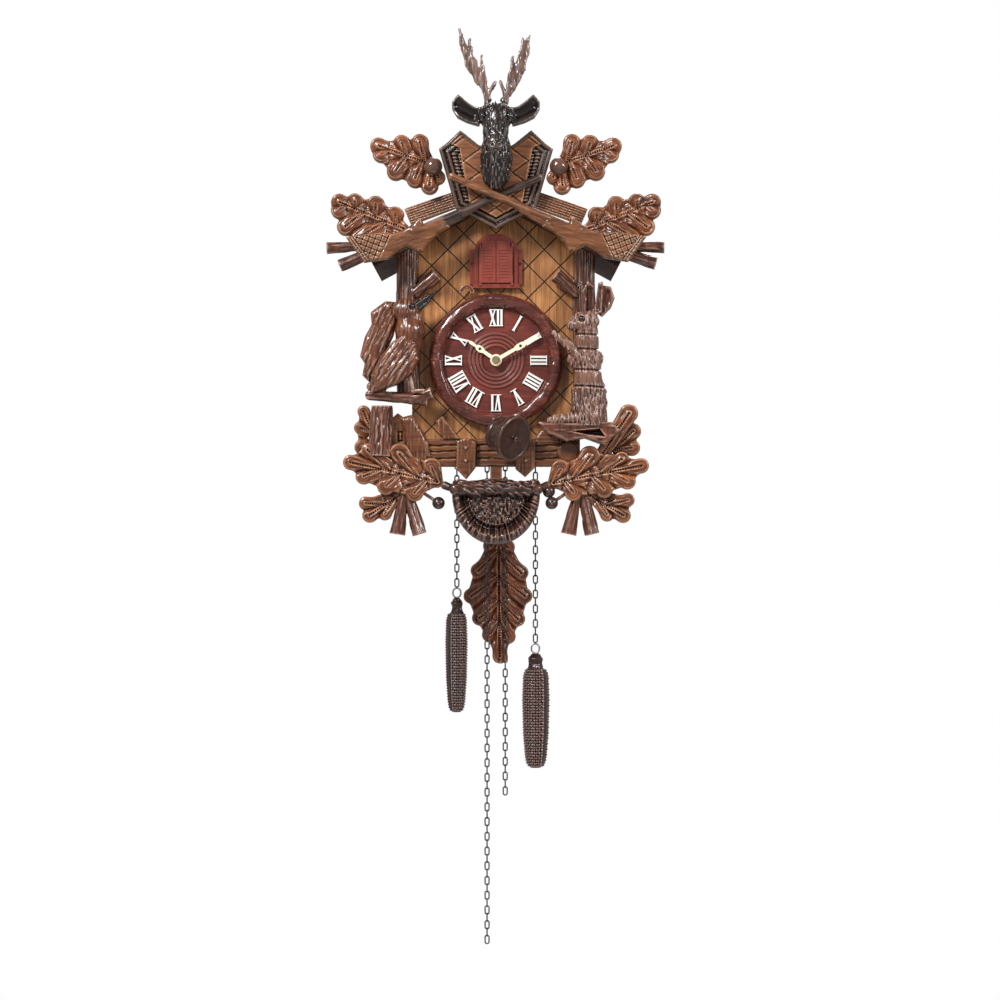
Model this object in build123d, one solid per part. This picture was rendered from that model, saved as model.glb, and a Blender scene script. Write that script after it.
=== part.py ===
"""A wall-hung, weight-driven cuckoo clock in the carved hunting style, as separate named pieces.

Millimetres. +X is to the viewer's right, +Y goes into the wall and +Z is up. The wall is the plane Y = 0,
and the origin is the centre of the hanging hole, so every front face has a negative Y.
"""

import math
import os

from build123d import *

# ---------------------------------------------------------------- driving dimensions
CASE_HALF = 66.0  # outer half width of the case box
FRONT_HALF = 72.0  # half width of the front board
CASE_BOTTOM = -215.0
BOARD = 8.0  # thickness of the case boards
FRONT_Y = -116.0  # front face of the front board
FRONT_BACK_Y = FRONT_Y + BOARD
ROOF_FRONT_Y = -132.0
GABLE_FRONT_Y = ROOF_FRONT_Y - 6
CROWN_Y = GABLE_FRONT_Y - 10  # front face of the crown's panel
RIDGE_Z = 21.0  # top of the roof at the ridge
ROOF_SLOPE = 0.54  # fall of the roof per unit of width
ROOF_DROP = 10.2  # vertical thickness of the roof boards
ROOF_HALF = 108.0
GAP = 0.2  # glue gap between boards
BACK_DOOR = (-50.0, 50.0, -198.0, -46.0)  # left, right, bottom and top of its opening
PLAY = 0.5  # clearance round the back door

DIAL_Z = -124.0  # height of the dial's centre
RING_R = 57.5
DIAL_R = 46.0
SIGHT_R = 44.8  # radius of the dial that the ring leaves open
DIAL_FACE_Y = -121.5
NUMERAL_R = 36.4
NUMERAL_H = 14.4

DOOR_HALF = 15.0  # half width of the cuckoo's opening
DOOR_SILL = -58.2
DOOR_SPRING = -27.0  # height where the arch starts
DOOR_RISE = 6.0
DOOR_FACE_Y = -120.0
SHUTTER_PIN_X = 13.6
SHUTTER_Y = -121.4

CHAIN_Y = -59.0
SPROCKET_X = 21.3
SPROCKET_Z = -150.0
SPROCKET_R = 13.3
BIRD_WIRE_Z = -53.0
HAMMER_PIVOT = (-30.0, -168.0)
CHAIN_R = 1.4
PLATE_HALF = 44.6
PILLAR_X = 41.0
PLATE_TOP, PLATE_BOTTOM = -56.0, -172.0
FRONT_PLATE_Y, BACK_PLATE_Y = -83.0, -41.5
PLATE_T = 1.5
PIVOT_Z = -64.0  # axis of the anchor and of the pendulum
ESCAPE_Z = -88.0
PENDULUM_Y = -33.0
ARBOR_R = 1.2
RUNNING = 0.05  # radial clearance of a pivot in its hole

GEAR_MODULE = 0.8
GREAT_TEETH, CENTRE_TEETH, PIN_TEETH = 48, 36, 24
MOTION_MODULE = 0.6
CANNON_TEETH, MINUTE_TEETH, MINUTE_PINION_TEETH, HOUR_TEETH = 12, 36, 12, 48
PIN_WHEEL = (30.3, -122.6)
MOTION_DIRECTION = 22.0  # of the minute wheel from the dial's centre, degrees anticlockwise from +X
HOUR_ANGLE, MINUTE_ANGLE = 305.0, 60.0  # ten past ten, clockwise from twelve

TIME_HOOK_Z, STRIKE_HOOK_Z = -322.0, -371.0
TIME_FREE_Z, STRIKE_FREE_Z = -635.0, -504.0
WEIGHT_LENGTH = 100.0


# ---------------------------------------------------------------- small builders
def plate(points, front, back):
    """A board whose outline lies in the XZ plane, from Y = front to Y = back."""
    face = make_face(Polyline(*points, close=True))
    return extrude(Plane.XZ.offset(-back) * face, back - front)


def rod(start, end, radius):
    """A round bar between two points."""
    a, b = Vector(*start), Vector(*end)
    return extrude(Plane(a, z_dir=b - a) * Circle(radius), (b - a).length)


def disc(x, z, radius, front, back):
    return rod((x, back, z), (x, front, z), radius)


def tube(x, z, outer, inner, front, back):
    return disc(x, z, outer, front, back) - disc(x, z, inner, front - 1, back + 1)


def block(x0, x1, y0, y1, z0, z1):
    centre = ((x0 + x1) / 2, (y0 + y1) / 2, (z0 + z1) / 2)
    return Pos(*centre) * Box(abs(x1 - x0), abs(y1 - y0), abs(z1 - z0))


def ellipsoid(x, y, z, a, b, c):
    return Pos(x, y, z) * scale(Sphere(1), by=(a, b, c))


def mirrored(shape):
    return mirror(shape, about=Plane.YZ)


def both(shape):
    """The shape and its mirror image, as two solids of one node."""
    return Compound([*shape.solids(), *mirrored(shape).solids()])


def turned(points, x, z, degrees):
    """Points (along, across) laid out from (x, z), with "along" pointing degrees anticlockwise from +X."""
    c, s = math.cos(math.radians(degrees)), math.sin(math.radians(degrees))
    return [(x + u * c - v * s, z + u * s + v * c) for u, v in points]


def oak_leaf(x, z, degrees, length, half_width, lobes=3):
    """Outline of a lobed leaf from its stalk at (x, z): a rounded envelope that swells once per lobe."""
    steps = 8 * lobes
    side = []
    for i in range(steps + 1):
        t = i / steps
        envelope = math.sin(math.pi * (0.06 + 0.9 * t) ** 0.85) ** 0.7
        wave = 0.78 - 0.22 * math.cos(2 * math.pi * lobes * t)
        side.append((length * t, half_width * envelope * wave))
    outline = side + [(length * 1.03, 0)] + [(u, -v) for u, v in reversed(side)]
    return turned(outline, x, z, degrees)


def leaf(x, z, degrees, length, half_width, front, back, lobes=3):
    return plate(oak_leaf(x, z, degrees, length, half_width, lobes), front, back)


def gear(x, z, module, teeth, phase, front, back, bore=0.0):
    """A wheel with tapered teeth, one of them at the angle phase (degrees anticlockwise from +X)."""
    pitch_r = module * teeth / 2
    root, tip = pitch_r - 1.15 * module, pitch_r + 0.75 * module
    outline = []
    for i in range(teeth):
        for share, radius in ((-0.25, root), (-0.11, tip), (0.11, tip), (0.25, root)):
            angle = math.radians(phase) + (i + share) * 2 * math.pi / teeth
            outline.append((x + radius * math.cos(angle), z + radius * math.sin(angle)))
    wheel = plate(outline, front, back)
    return wheel - disc(x, z, bore, front - 1, back + 1) if bore else wheel


def roof_under(x):
    """Height of the roof's underside over a given X."""
    return RIDGE_Z - ROOF_DROP - ROOF_SLOPE * abs(x)


def direction(x0, z0, x1, z1):
    return math.degrees(math.atan2(z1 - z0, x1 - x0))


# ---------------------------------------------------------------- case
def arch(half, sill, spring, rise, front, back):
    """A door-shaped prism: straight jambs under an elliptical head."""
    jambs = block(-half, half, front, back, sill, spring)
    head = extrude(Plane.XZ.offset(-back) * Pos(0, spring) * Ellipse(half, rise), back - front)
    return jambs + head


def case_boards():
    slope_points = [
        (-FRONT_HALF, CASE_BOTTOM),
        (FRONT_HALF, CASE_BOTTOM),
        (FRONT_HALF, roof_under(FRONT_HALF) - GAP),
        (0, roof_under(0) - GAP),
        (-FRONT_HALF, roof_under(FRONT_HALF) - GAP),
    ]
    front = plate(slope_points, FRONT_Y, FRONT_BACK_Y)
    front -= arch(DOOR_HALF, DOOR_SILL, DOOR_SPRING, DOOR_RISE, FRONT_Y - 1, FRONT_BACK_Y + 1)
    front -= disc(0, DIAL_Z, 6.0, FRONT_Y - 1, FRONT_BACK_Y + 1)
    front -= lattice_grooves(FRONT_Y, 27.6, -42.5, 5, (CASE_BOTTOM, 15))

    inner, top = CASE_HALF - BOARD, CASE_BOTTOM + 2 + BOARD
    side = plate(
        [
            (inner, CASE_BOTTOM + 2),
            (CASE_HALF, CASE_BOTTOM + 2),
            (CASE_HALF, roof_under(CASE_HALF) - GAP),
            (inner, roof_under(inner) - GAP),
        ],
        FRONT_BACK_Y,
        -BOARD,
    )
    bottom = block(-inner, inner, FRONT_BACK_Y, -BOARD, CASE_BOTTOM + 2, top)
    for x in (-34.6, -8.0, 8.0, 34.6):
        bottom -= rod((x, CHAIN_Y, CASE_BOTTOM), (x, CHAIN_Y, top + 1), 5.0)
    bottom -= block(-22, 22, PENDULUM_Y - 6, PENDULUM_Y + 6, CASE_BOTTOM, top + 1)
    return {"front_board": front, "case_sides": both(side), "bottom_board": bottom}


def lattice_grooves(face, pitch, crossing_z, columns, heights, width=1.0, depth=1.1):
    """Grooves that cross each other on the slant, as tools to subtract from a board's front face."""
    low, high = heights
    middle, reach = (low + high) / 2, (high - low) * 0.75
    tools = []
    for column in range(-9, 10):
        for lean in (1, -1):
            x = column * pitch + lean * (middle - crossing_z)
            if abs(x) < reach + columns * pitch:
                tools.append(Pos(x, face, middle) * Rot(0, lean * 45, 0) * Box(width, depth * 2, 2 * reach))
    return tools


def back():
    """The back board, its hanging plate, and a door that turns on two pins at its left edge."""
    board = plate(
        [
            (-CASE_HALF, CASE_BOTTOM + 2),
            (CASE_HALF, CASE_BOTTOM + 2),
            (CASE_HALF, roof_under(CASE_HALF) - GAP),
            (0, roof_under(0) - GAP),
            (-CASE_HALF, roof_under(CASE_HALF) - GAP),
        ],
        -BOARD,
        0,
    )
    left, right, low, top = BACK_DOOR
    board -= block(left, right, -BOARD - 1, 1, low, top)
    for seam in (left - GAP, right):
        board -= block(seam, seam + GAP, -BOARD - 1, 1, CASE_BOTTOM, RIDGE_Z)

    half_w, plate_low, plate_high, hole_r = 9.5, -18.0, 5.5, 4.0
    board -= block(-half_w, half_w, -PLATE_T, 1, plate_low, plate_high)
    board -= disc(0, 0, hole_r + 3, -6.5, 1)
    hanger = block(-half_w, half_w, -PLATE_T, 0, plate_low, plate_high) - disc(0, 0, hole_r, -3, 1)
    for x in (-5.5, 5.5):
        screw = disc(x, -12.5, 1.5, -6.0, 0)
        hanger += screw
        board -= screw

    edge_r, pin_r, pin_length = 3.0, 1.2, 3.0
    x, y = left + PLAY + edge_r, -4.0
    door = block(x, right - PLAY, y - edge_r, y + edge_r, low + PLAY, top - PLAY)
    door += rod((x, y, low + PLAY), (x, y, top - PLAY), edge_r)
    door += rod((x, y, low - pin_length), (x, y, top + pin_length), pin_r)
    board -= rod((x, y, low - pin_length - GAP), (x, y, top + pin_length + GAP), pin_r + RUNNING)
    door += disc(42.0, -120.0, 4.0, y + edge_r, -0.2)
    return {"back_board": board, "hanger_plate": hanger, "back_door": door}


def roof():
    fall = ROOF_SLOPE * ROOF_HALF
    boards = plate(
        [
            (GAP / 4, RIDGE_Z),
            (ROOF_HALF, RIDGE_Z - fall),
            (ROOF_HALF - 4.4, RIDGE_Z - fall - 8.2),
            (ROOF_HALF - 5.0, roof_under(ROOF_HALF - 5.0)),
            (GAP / 4, roof_under(0)),
        ],
        ROOF_FRONT_Y,
        0,
    )
    end, rise, slope, width = 78.0, 31.0, 0.35, 14.0
    gable = plate(
        [
            (GAP / 4, rise),
            (end, rise - slope * end),
            (end - 6, rise - slope * end - width),
            (GAP / 4, rise - width),
        ],
        GABLE_FRONT_Y,
        ROOF_FRONT_Y,
    )
    return {"roof_boards": both(boards), "gable_boards": both(gable)}


def crown():
    half = [(48, 61), (42, 64), (31, 77), (12, 64)]
    frame = half + [(-x, z) for x, z in reversed(half)] + [(-30, 3), (0, -17), (30, 3)]
    half = [(41, 65), (31, 74), (12, 60)]
    panel = half + [(-x, z) for x, z in reversed(half)] + [(-26, 5), (0, -13), (26, 5)]
    front = plate(panel, CROWN_Y, CROWN_Y + 4) - lattice_grooves(CROWN_Y, 27.6, 33.0, 3, (-15, 80))
    return {"crown_frame": plate(frame, CROWN_Y + 4, GABLE_FRONT_Y), "crown_panel": front}


# ---------------------------------------------------------------- stag and rifles
def stag():
    neck_y = CROWN_Y - 9
    neck = ellipsoid(0, neck_y, 41, 12.5, 14, 24) + ellipsoid(0, neck_y - 4, 63, 10, 12, 14)
    skull = ellipsoid(0, neck_y - 9, 79, 14, 15, 14) + rod((0, neck_y - 9, 75), (0, neck_y - 27, 55), 8.5)
    ear_outline = [(10, 75), (16, 72), (34, 80), (37, 90), (34, 98), (24, 92), (11, 86)]
    ear = plate(ear_outline, neck_y - 8, neck_y - 3)
    head = neck + skull + ear + mirrored(ear)
    head -= block(-60, 60, CROWN_Y, 0, -20, 200)

    antler_y = neck_y - 6
    beam = rod((8, antler_y, 91), (9.5, antler_y + 1, 104), 2.8)
    beam += rod((9.5, antler_y + 1, 103), (18, antler_y + 2, 119), 3.0)
    beam += rod((18, antler_y + 2, 118), (25, antler_y + 3, 136), 3.2)
    beam += rod((25, antler_y + 3, 135), (29.5, antler_y + 3, 153), 1.8)
    for start, tip in (
        ((9, 100), (1.8, 108)),
        ((11, 107), (14, 130)),
        ((19, 122), (22.5, 145)),
    ):
        beam += rod((start[0], antler_y + 1, start[1]), (tip[0], antler_y, tip[1]), 1.8)
    return {"stag_head": head, "antlers": both(biggest(beam - head, 1))}


def rifle(back_y, turn):
    """A stocked gun seen from its side, muzzle up, lying on Y = back_y."""
    butt_x, butt_z, angle = -126.0, -33.0, 21.0
    stock = [
        (4, 10), (27, 5), (41, -1), (52, -2), (64, 3), (68, 3), (70, -3), (88, -2),
        (88, -13), (76, -14), (60, -24), (49, -15), (30, -19), (10, -15),
    ]
    wood = plate(turned(stock, butt_x, butt_z, angle), back_y - 7.5, back_y)
    run = [(87.9, -3), (176, 1.8), (176, -4.6), (87.9, -12)]
    barrel = plate(turned(run, butt_x, butt_z, angle), back_y - 6.5, back_y - 1)
    gun = wood + barrel
    return mirrored(gun) if turn else gun


def rifles():
    return {"rifle_left": rifle(CROWN_Y, False), "rifle_right": rifle(CROWN_Y - 7.5, True)}


# ---------------------------------------------------------------- leaves, twigs and trunks
def foliage():
    layer = GABLE_FRONT_Y
    top = leaf(-46, 32, direction(-46, 32, -104, 54), 62, 24, layer - 6, layer)
    top += leaf(-44, 24, direction(-44, 24, -62, 0), 26, 12, layer - 5, layer, lobes=2)
    middle = leaf(-78, -24, direction(-78, -24, -137, 13), 68, 29, layer - 6, layer)
    twig_layer = layer + 1
    twigs = rod((-110, twig_layer, -31), (-146, twig_layer - 2, -31), 4.6)
    twigs += rod((-112, twig_layer, -36), (-134, twig_layer - 2, -49), 4.6)

    low_y = FRONT_Y - 12
    lower = leaf(-48, -232, direction(-48, -232, -129, -214), 82, 25, low_y - 12, low_y - 6)
    lower += leaf(-62, -228, direction(-62, -228, -116, -262), 66, 17, low_y - 6, low_y)
    lower += leaf(-70, -222, direction(-70, -222, -122, -168), 74, 17, low_y - 6, low_y)
    lower += block(-112, -64, low_y, FRONT_Y, -226, -160)
    hanging = rod((-80, low_y - 3, -244), (-86, low_y - 3, -276), 6.5)
    hanging += rod((-78, low_y - 3, -244), (-68, low_y - 3, -276), 6.5)
    tendril = rod((-64, low_y - 3, -240), (-51, low_y - 3, -245), 1.8)
    berry = ellipsoid(-50, low_y - 4, -246, 5.4, 5.4, 5.4)
    hanging += tendril + berry
    hanging -= lower
    return {
        "leaves_top": both(top),
        "leaves_middle": both(middle),
        "twigs_upper": both(twigs - middle),
        "leaves_lower": both(lower),
        "twigs_lower": both(hanging),
    }


def trunk():
    x, radius = 75.5, 10.5
    log = rod((x, FRONT_Y - 2, -30), (x, FRONT_Y - 2, -160), radius)
    log += rod((x - 6, FRONT_Y - 6, -68), (x - 22, FRONT_Y - 7, -54), 4.5)
    log -= block(0, 200, FRONT_Y, 0, -250, 50)
    above_roof = [(0, 60), (200, 60), (200, roof_under(200) - GAP), (0, roof_under(0) - GAP)]
    return log - plate(above_roof, ROOF_FRONT_Y - 1, 0)


# ---------------------------------------------------------------- animals, fence, bag and flask
def woodpecker():
    y = FRONT_Y - 20
    body = Pos(-78, y, -115) * Rot(0, 35, 0) * scale(Sphere(1), by=(13, 12, 30))
    head = ellipsoid(-76, y - 2, -84, 11, 9, 11)
    beak = Pos(-60, y - 2, -74) * Rot(0, 55, 0) * Cone(3.6, 0.4, 26)
    wing_outline = [(-80, -88), (-92, -88), (-118, -140), (-118, -152), (-106, -148), (-88, -118)]
    wing = plate(wing_outline, y - 10, y + 6)
    return body + head + beak + wing


def hare():
    y = FRONT_Y - 18
    body = ellipsoid(75, y, -146, 17, 13, 34) + ellipsoid(75, y, -112, 13, 11, 18)
    head = ellipsoid(73, y - 2, -91, 13, 9, 11)
    ears = plate([(80, -84), (88, -60), (95, -58), (99, -68), (90, -86)], y - 4, y + 4)
    arm = rod((66, y - 2, -118), (49, y - 7, -104), 4.0)
    feet = block(48, 92, y - 12, y + 12, -178, -170)
    return body + head + ears + arm + feet


def front_figures(taken):
    """Animals, ledges, fence, bag and flask, each scribed to what it is glued against."""
    bird, rabbit = woodpecker(), hare()
    perches = rod((-108, FRONT_Y - 16, -156), (-56, FRONT_Y - 16, -157), 6.5)
    perches += rod((-98, FRONT_Y - 14, -163), (-98, FRONT_Y - 14, -200), 9.5)
    ledge_outline = [(46, -178.2), (98, -178.2), (104, -188), (84, -196), (58, -190), (40, -183)]
    ledge = plate(ledge_outline, FRONT_Y - 28, FRONT_Y)
    perches = Compound([*(perches - bird).solids(), *ledge.solids()])

    fence = []
    for z in (-211.0, -203.5, -196.0):
        fence.append(block(-62, 62, FRONT_Y - 5, FRONT_Y, z, z + 6))
    for x, top in ((-24.0, -192.0), (19.0, -187.0)):
        picket = [(x - 8.5, -213), (x, -223), (x + 8.5, -213), (x + 8.5, top), (x, top + 5), (x - 8.5, top)]
        fence.append(plate(picket, FRONT_Y - 11, FRONT_Y - 5))
    fence.append(block(-7, 7, FRONT_Y - 4, FRONT_Y, CASE_BOTTOM - 17, CASE_BOTTOM + 4))
    rails = fence[0]
    for piece in fence[1:]:
        rails += piece

    bag_y = FRONT_Y - 2
    pouch = extrude(Plane.XZ.offset(-bag_y) * Pos(0, -240) * Ellipse(37.5, 43), 24)
    pouch -= block(-60, 60, -200, 0, -228, -150)
    roll = rod((-44, bag_y - 17, -233), (44, bag_y - 17, -233), 7.5)
    bag = pouch + roll

    centre, normal = Vector(13.3, FRONT_Y - 30, -191), Vector(0.706, -0.66, -0.257)
    flask = rod(tuple(centre), tuple(centre + normal * 4), 20.0)
    flask += rod(tuple(centre - normal * 17), tuple(centre), 15.5)
    stud_end = centre + normal * 6
    flask += rod(tuple(centre), tuple(stud_end), 2.0)

    pieces = {
        "woodpecker": bird,
        "hare": rabbit,
        "perches": perches,
        "fence": rails,
        "game_bag": bag,
        "flask": flask,
    }
    seated = {}
    earlier = list(taken)
    for name, shape in pieces.items():
        for other in earlier:
            shape = shape - other
        seated[name] = biggest(shape, 2 if name == "perches" else 1)
        earlier.append(seated[name])
    return seated


def biggest(shape, count):
    """The largest solids of a shape, without the crumbs that scribing leaves."""
    solids = sorted(shape.solids(), key=lambda s: -s.volume)[:count]
    return solids[0] if count == 1 else Compound(solids)


# ---------------------------------------------------------------- dial and hands
def dial():
    ring = tube(0, DIAL_Z, RING_R, SIGHT_R, FRONT_Y - 13, FRONT_Y)
    ring = fillet(ring.edges().group_by(Axis.Y)[0], 5.2)
    ring -= disc(0, DIAL_Z, DIAL_R + 0.2, DIAL_FACE_Y, FRONT_Y + 1)
    face = tube(0, DIAL_Z, DIAL_R, 5.0, DIAL_FACE_Y, FRONT_Y)
    for k in range(5):
        radius = 12.0 + 3.4 * k
        groove = tube(0, DIAL_Z, radius + 0.9, radius - 0.9, DIAL_FACE_Y - 1, DIAL_FACE_Y + 0.9)
        face -= groove
    return {"dial_ring": ring, "dial_plate": face, "numerals": numerals()}


def stroke(x0, z0, x1, z1, width):
    """One bar of a numeral, from its foot to its head."""
    dx, dz = x1 - x0, z1 - z0
    length = math.hypot(dx, dz)
    points = [(0, -width / 2), (length, -width / 2), (length, width / 2), (0, width / 2)]
    return plate(turned(points, x0, z0, math.degrees(math.atan2(dz, dx))), -1.0, 0.0)


def letter(kind, left):
    """(bars, width) of one Roman letter that starts at X = left."""
    h, thick, thin = NUMERAL_H / 2, 1.75, 1.05
    if kind == "I":
        return [(left + 1.1, -h, left + 1.1, h, thick)], 2.2
    if kind == "V":
        return [(left + 2.7, -h, left + 0.9, h, thick), (left + 2.7, -h, left + 4.8, h, thin)], 5.6
    return [(left + 0.7, h, left + 4.9, -h, thick), (left + 4.9, h, left + 0.7, -h, thin)], 5.6


def numeral(text):
    """A Roman numeral about the origin, its foot towards -Z, with serif bars at head and foot."""
    bars, left, spacing = [], 0.0, 0.75
    for kind in text:
        made, width = letter(kind, left)
        bars += made
        left += width + spacing
    width = left - spacing
    h = NUMERAL_H / 2
    shape = None
    serifs = [(-0.2, s * (h - 0.35), width + 0.2, s * (h - 0.35), 0.7) for s in (-1, 1)]
    for bar in bars + serifs:
        solid = stroke(*bar)
        shape = solid if shape is None else shape + solid
    return Pos(-width / 2, 0, 0) * shape


def numerals():
    names = ["XII", "I", "II", "III", "IIII", "V", "VI", "VII", "VIII", "IX", "X", "XI"]
    made = []
    for hour, text in enumerate(names):
        placed = Pos(0, DIAL_FACE_Y, DIAL_Z) * Rot(0, 30 * hour, 0) * Pos(0, 0, NUMERAL_R) * numeral(text)
        made += placed.solids()
    return Compound(made)


def hand(length, angle, bore, front, back):
    """A pierced hand that points clockwise angle degrees from twelve."""
    half = 2.6
    outline = [(3.4, -1.6), (0.42 * length, -1.4), (0.5 * length, -half), (0.62 * length, -half)]
    outline += [(0.7 * length, -1.0), (0.86 * length, -1.5), (length, 0)]
    outline += [(u, -v) for u, v in reversed(outline[:-1])]
    blade = plate(turned(outline, 0, DIAL_Z, 90 - angle), front, back)
    blade += disc(0, DIAL_Z, 5.0, front, back)
    blade -= disc(0, DIAL_Z, bore, front - 1, back + 1)
    at = turned([(0.56 * length, 0)], 0, DIAL_Z, 90 - angle)[0]
    return blade - disc(at[0], at[1], 1.3, front - 1, back + 1)


def motion_stud():
    """Centre of the minute wheel, beside the dial's centre."""
    spacing = MOTION_MODULE * (CANNON_TEETH + MINUTE_TEETH) / 2
    return turned([(spacing, 0)], 0, DIAL_Z, MOTION_DIRECTION)[0]


def hands():
    """Both hands with the wheels that tie them together, twelve turns of one to one of the other."""
    cannon_front, cannon_back = FRONT_PLATE_Y - 4.5, FRONT_PLATE_Y - 1.5
    pinion_front = cannon_front - 3.5
    fine_module = MOTION_MODULE * (CANNON_TEETH + MINUTE_TEETH) / (MINUTE_PINION_TEETH + HOUR_TEETH)
    facing = MOTION_DIRECTION + 180
    arbor_r, pipe_r, stud = 2.0, 3.6, motion_stud()

    arbor = disc(0, DIAL_Z, arbor_r, DIAL_FACE_Y - 7.5, BACK_PLATE_Y + PLATE_T + 0.5)
    arbor += gear(0, DIAL_Z, MOTION_MODULE, CANNON_TEETH, MOTION_DIRECTION, cannon_front, cannon_back)
    wheel = gear(*stud, MOTION_MODULE, MINUTE_TEETH, facing + 180 / MINUTE_TEETH, cannon_front, cannon_back)
    wheel += gear(*stud, fine_module, MINUTE_PINION_TEETH, facing, pinion_front, cannon_front)
    wheel -= disc(*stud, ARBOR_R + RUNNING, pinion_front - 1, cannon_back + 1)

    phase = MOTION_DIRECTION + 180 / HOUR_TEETH
    hour = gear(0, DIAL_Z, fine_module, HOUR_TEETH, phase, pinion_front, pinion_front + 2.5)
    hour += disc(0, DIAL_Z, pipe_r, DIAL_FACE_Y - 3.6, pinion_front)
    hour -= disc(0, DIAL_Z, arbor_r + RUNNING, DIAL_FACE_Y - 8, 0)
    return {
        "minute_arbor": arbor,
        "minute_hand": hand(43.0, MINUTE_ANGLE, arbor_r, DIAL_FACE_Y - 5.2, DIAL_FACE_Y - 4.2),
        "hand_nut": tube(0, DIAL_Z, 3.4, arbor_r, DIAL_FACE_Y - 6.8, DIAL_FACE_Y - 5.2),
        "minute_wheel": wheel,
        "hour_wheel": hour,
        "hour_hand": hand(30.0, HOUR_ANGLE, pipe_r, DIAL_FACE_Y - 3.2, DIAL_FACE_Y - 2.2),
    }


# ---------------------------------------------------------------- cuckoo and its shutters
def cuckoo():
    """The framed doorway, its two louvred shutters on pins, and the bird on its wire."""
    back, top_z, pin_r, lug_r = FRONT_Y, DOOR_SPRING - 0.3, 0.8, 1.4
    frame = arch(18.5, DOOR_SILL - 4, DOOR_SPRING - 3, 14.5, DOOR_FACE_Y, back)
    frame += block(-22.5, 22.5, DOOR_FACE_Y + 1.6, back, DOOR_SILL - 0.5, -29.0)
    frame += block(-20, 20, DOOR_FACE_Y - 1.5, back, DOOR_SILL - 4, DOOR_SILL - 0.6)
    frame -= arch(DOOR_HALF, DOOR_SILL, DOOR_SPRING, DOOR_RISE, DOOR_FACE_Y - 2, back + 1)
    for x in (-20.4, 20.4):
        frame -= disc(x, -41.5, 1.6, DOOR_FACE_Y - 1, back + 1)
    low_z = DOOR_SILL + 0.5
    for x in (-SHUTTER_PIN_X, SHUTTER_PIN_X):
        for z0, z1 in ((low_z - 2.6, low_z - 0.2), (top_z + 0.2, top_z + 2.6)):
            frame += rod((x, SHUTTER_Y, z0), (x, SHUTTER_Y, z1), lug_r)
            frame += block(x - 0.9, x + 0.9, SHUTTER_Y, DOOR_FACE_Y + 0.5, z0, z1)
        frame += block(x - 0.9, x + 0.9, DOOR_FACE_Y, back, DOOR_SPRING, top_z + 2.6)
        frame -= rod((x, SHUTTER_Y, low_z - 2), (x, SHUTTER_Y, top_z + 2), pin_r + RUNNING)

    panel = arch(DOOR_HALF, low_z, DOOR_SPRING, DOOR_RISE - 0.4, SHUTTER_Y - 1, SHUTTER_Y + 1)
    shutter = panel & block(0.25, SHUTTER_PIN_X, SHUTTER_Y - 1, SHUTTER_Y + 1, low_z, 0)
    shutter -= block(SHUTTER_PIN_X - lug_r - GAP, DOOR_HALF, SHUTTER_Y - 2, SHUTTER_Y + 2, top_z, 0)
    shutter += rod((SHUTTER_PIN_X, SHUTTER_Y, low_z), (SHUTTER_PIN_X, SHUTTER_Y, top_z), 1.0)
    for row in range(10):
        z = low_z + 3.6 + 2.6 * row
        shutter -= block(2.4, 11.4, SHUTTER_Y - 1.1, SHUTTER_Y - 0.6, z, z + 0.8)
    shutter += rod((SHUTTER_PIN_X, SHUTTER_Y, low_z - 1.6), (SHUTTER_PIN_X, SHUTTER_Y, top_z + 1.6), pin_r)

    bird = ellipsoid(0, -90, -44, 5.5, 12, 6.5) + ellipsoid(0, -99, -37, 4.4, 5, 4.6)
    bird += rod((0, -101, -37), (0, -106, -37.5), 0.9)
    bird += block(-3, 3, -82, -72, -46, -43)
    bird += rod((0, -88, -47), (0, -88, BIRD_WIRE_Z), 1.0)
    bird += rod((0, -88, BIRD_WIRE_Z), (0, -34, BIRD_WIRE_Z), 0.9)
    return {
        "door_frame": frame,
        "shutter_right": shutter,
        "shutter_left": mirrored(shutter),
        "cuckoo_bird": bird,
    }


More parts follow.
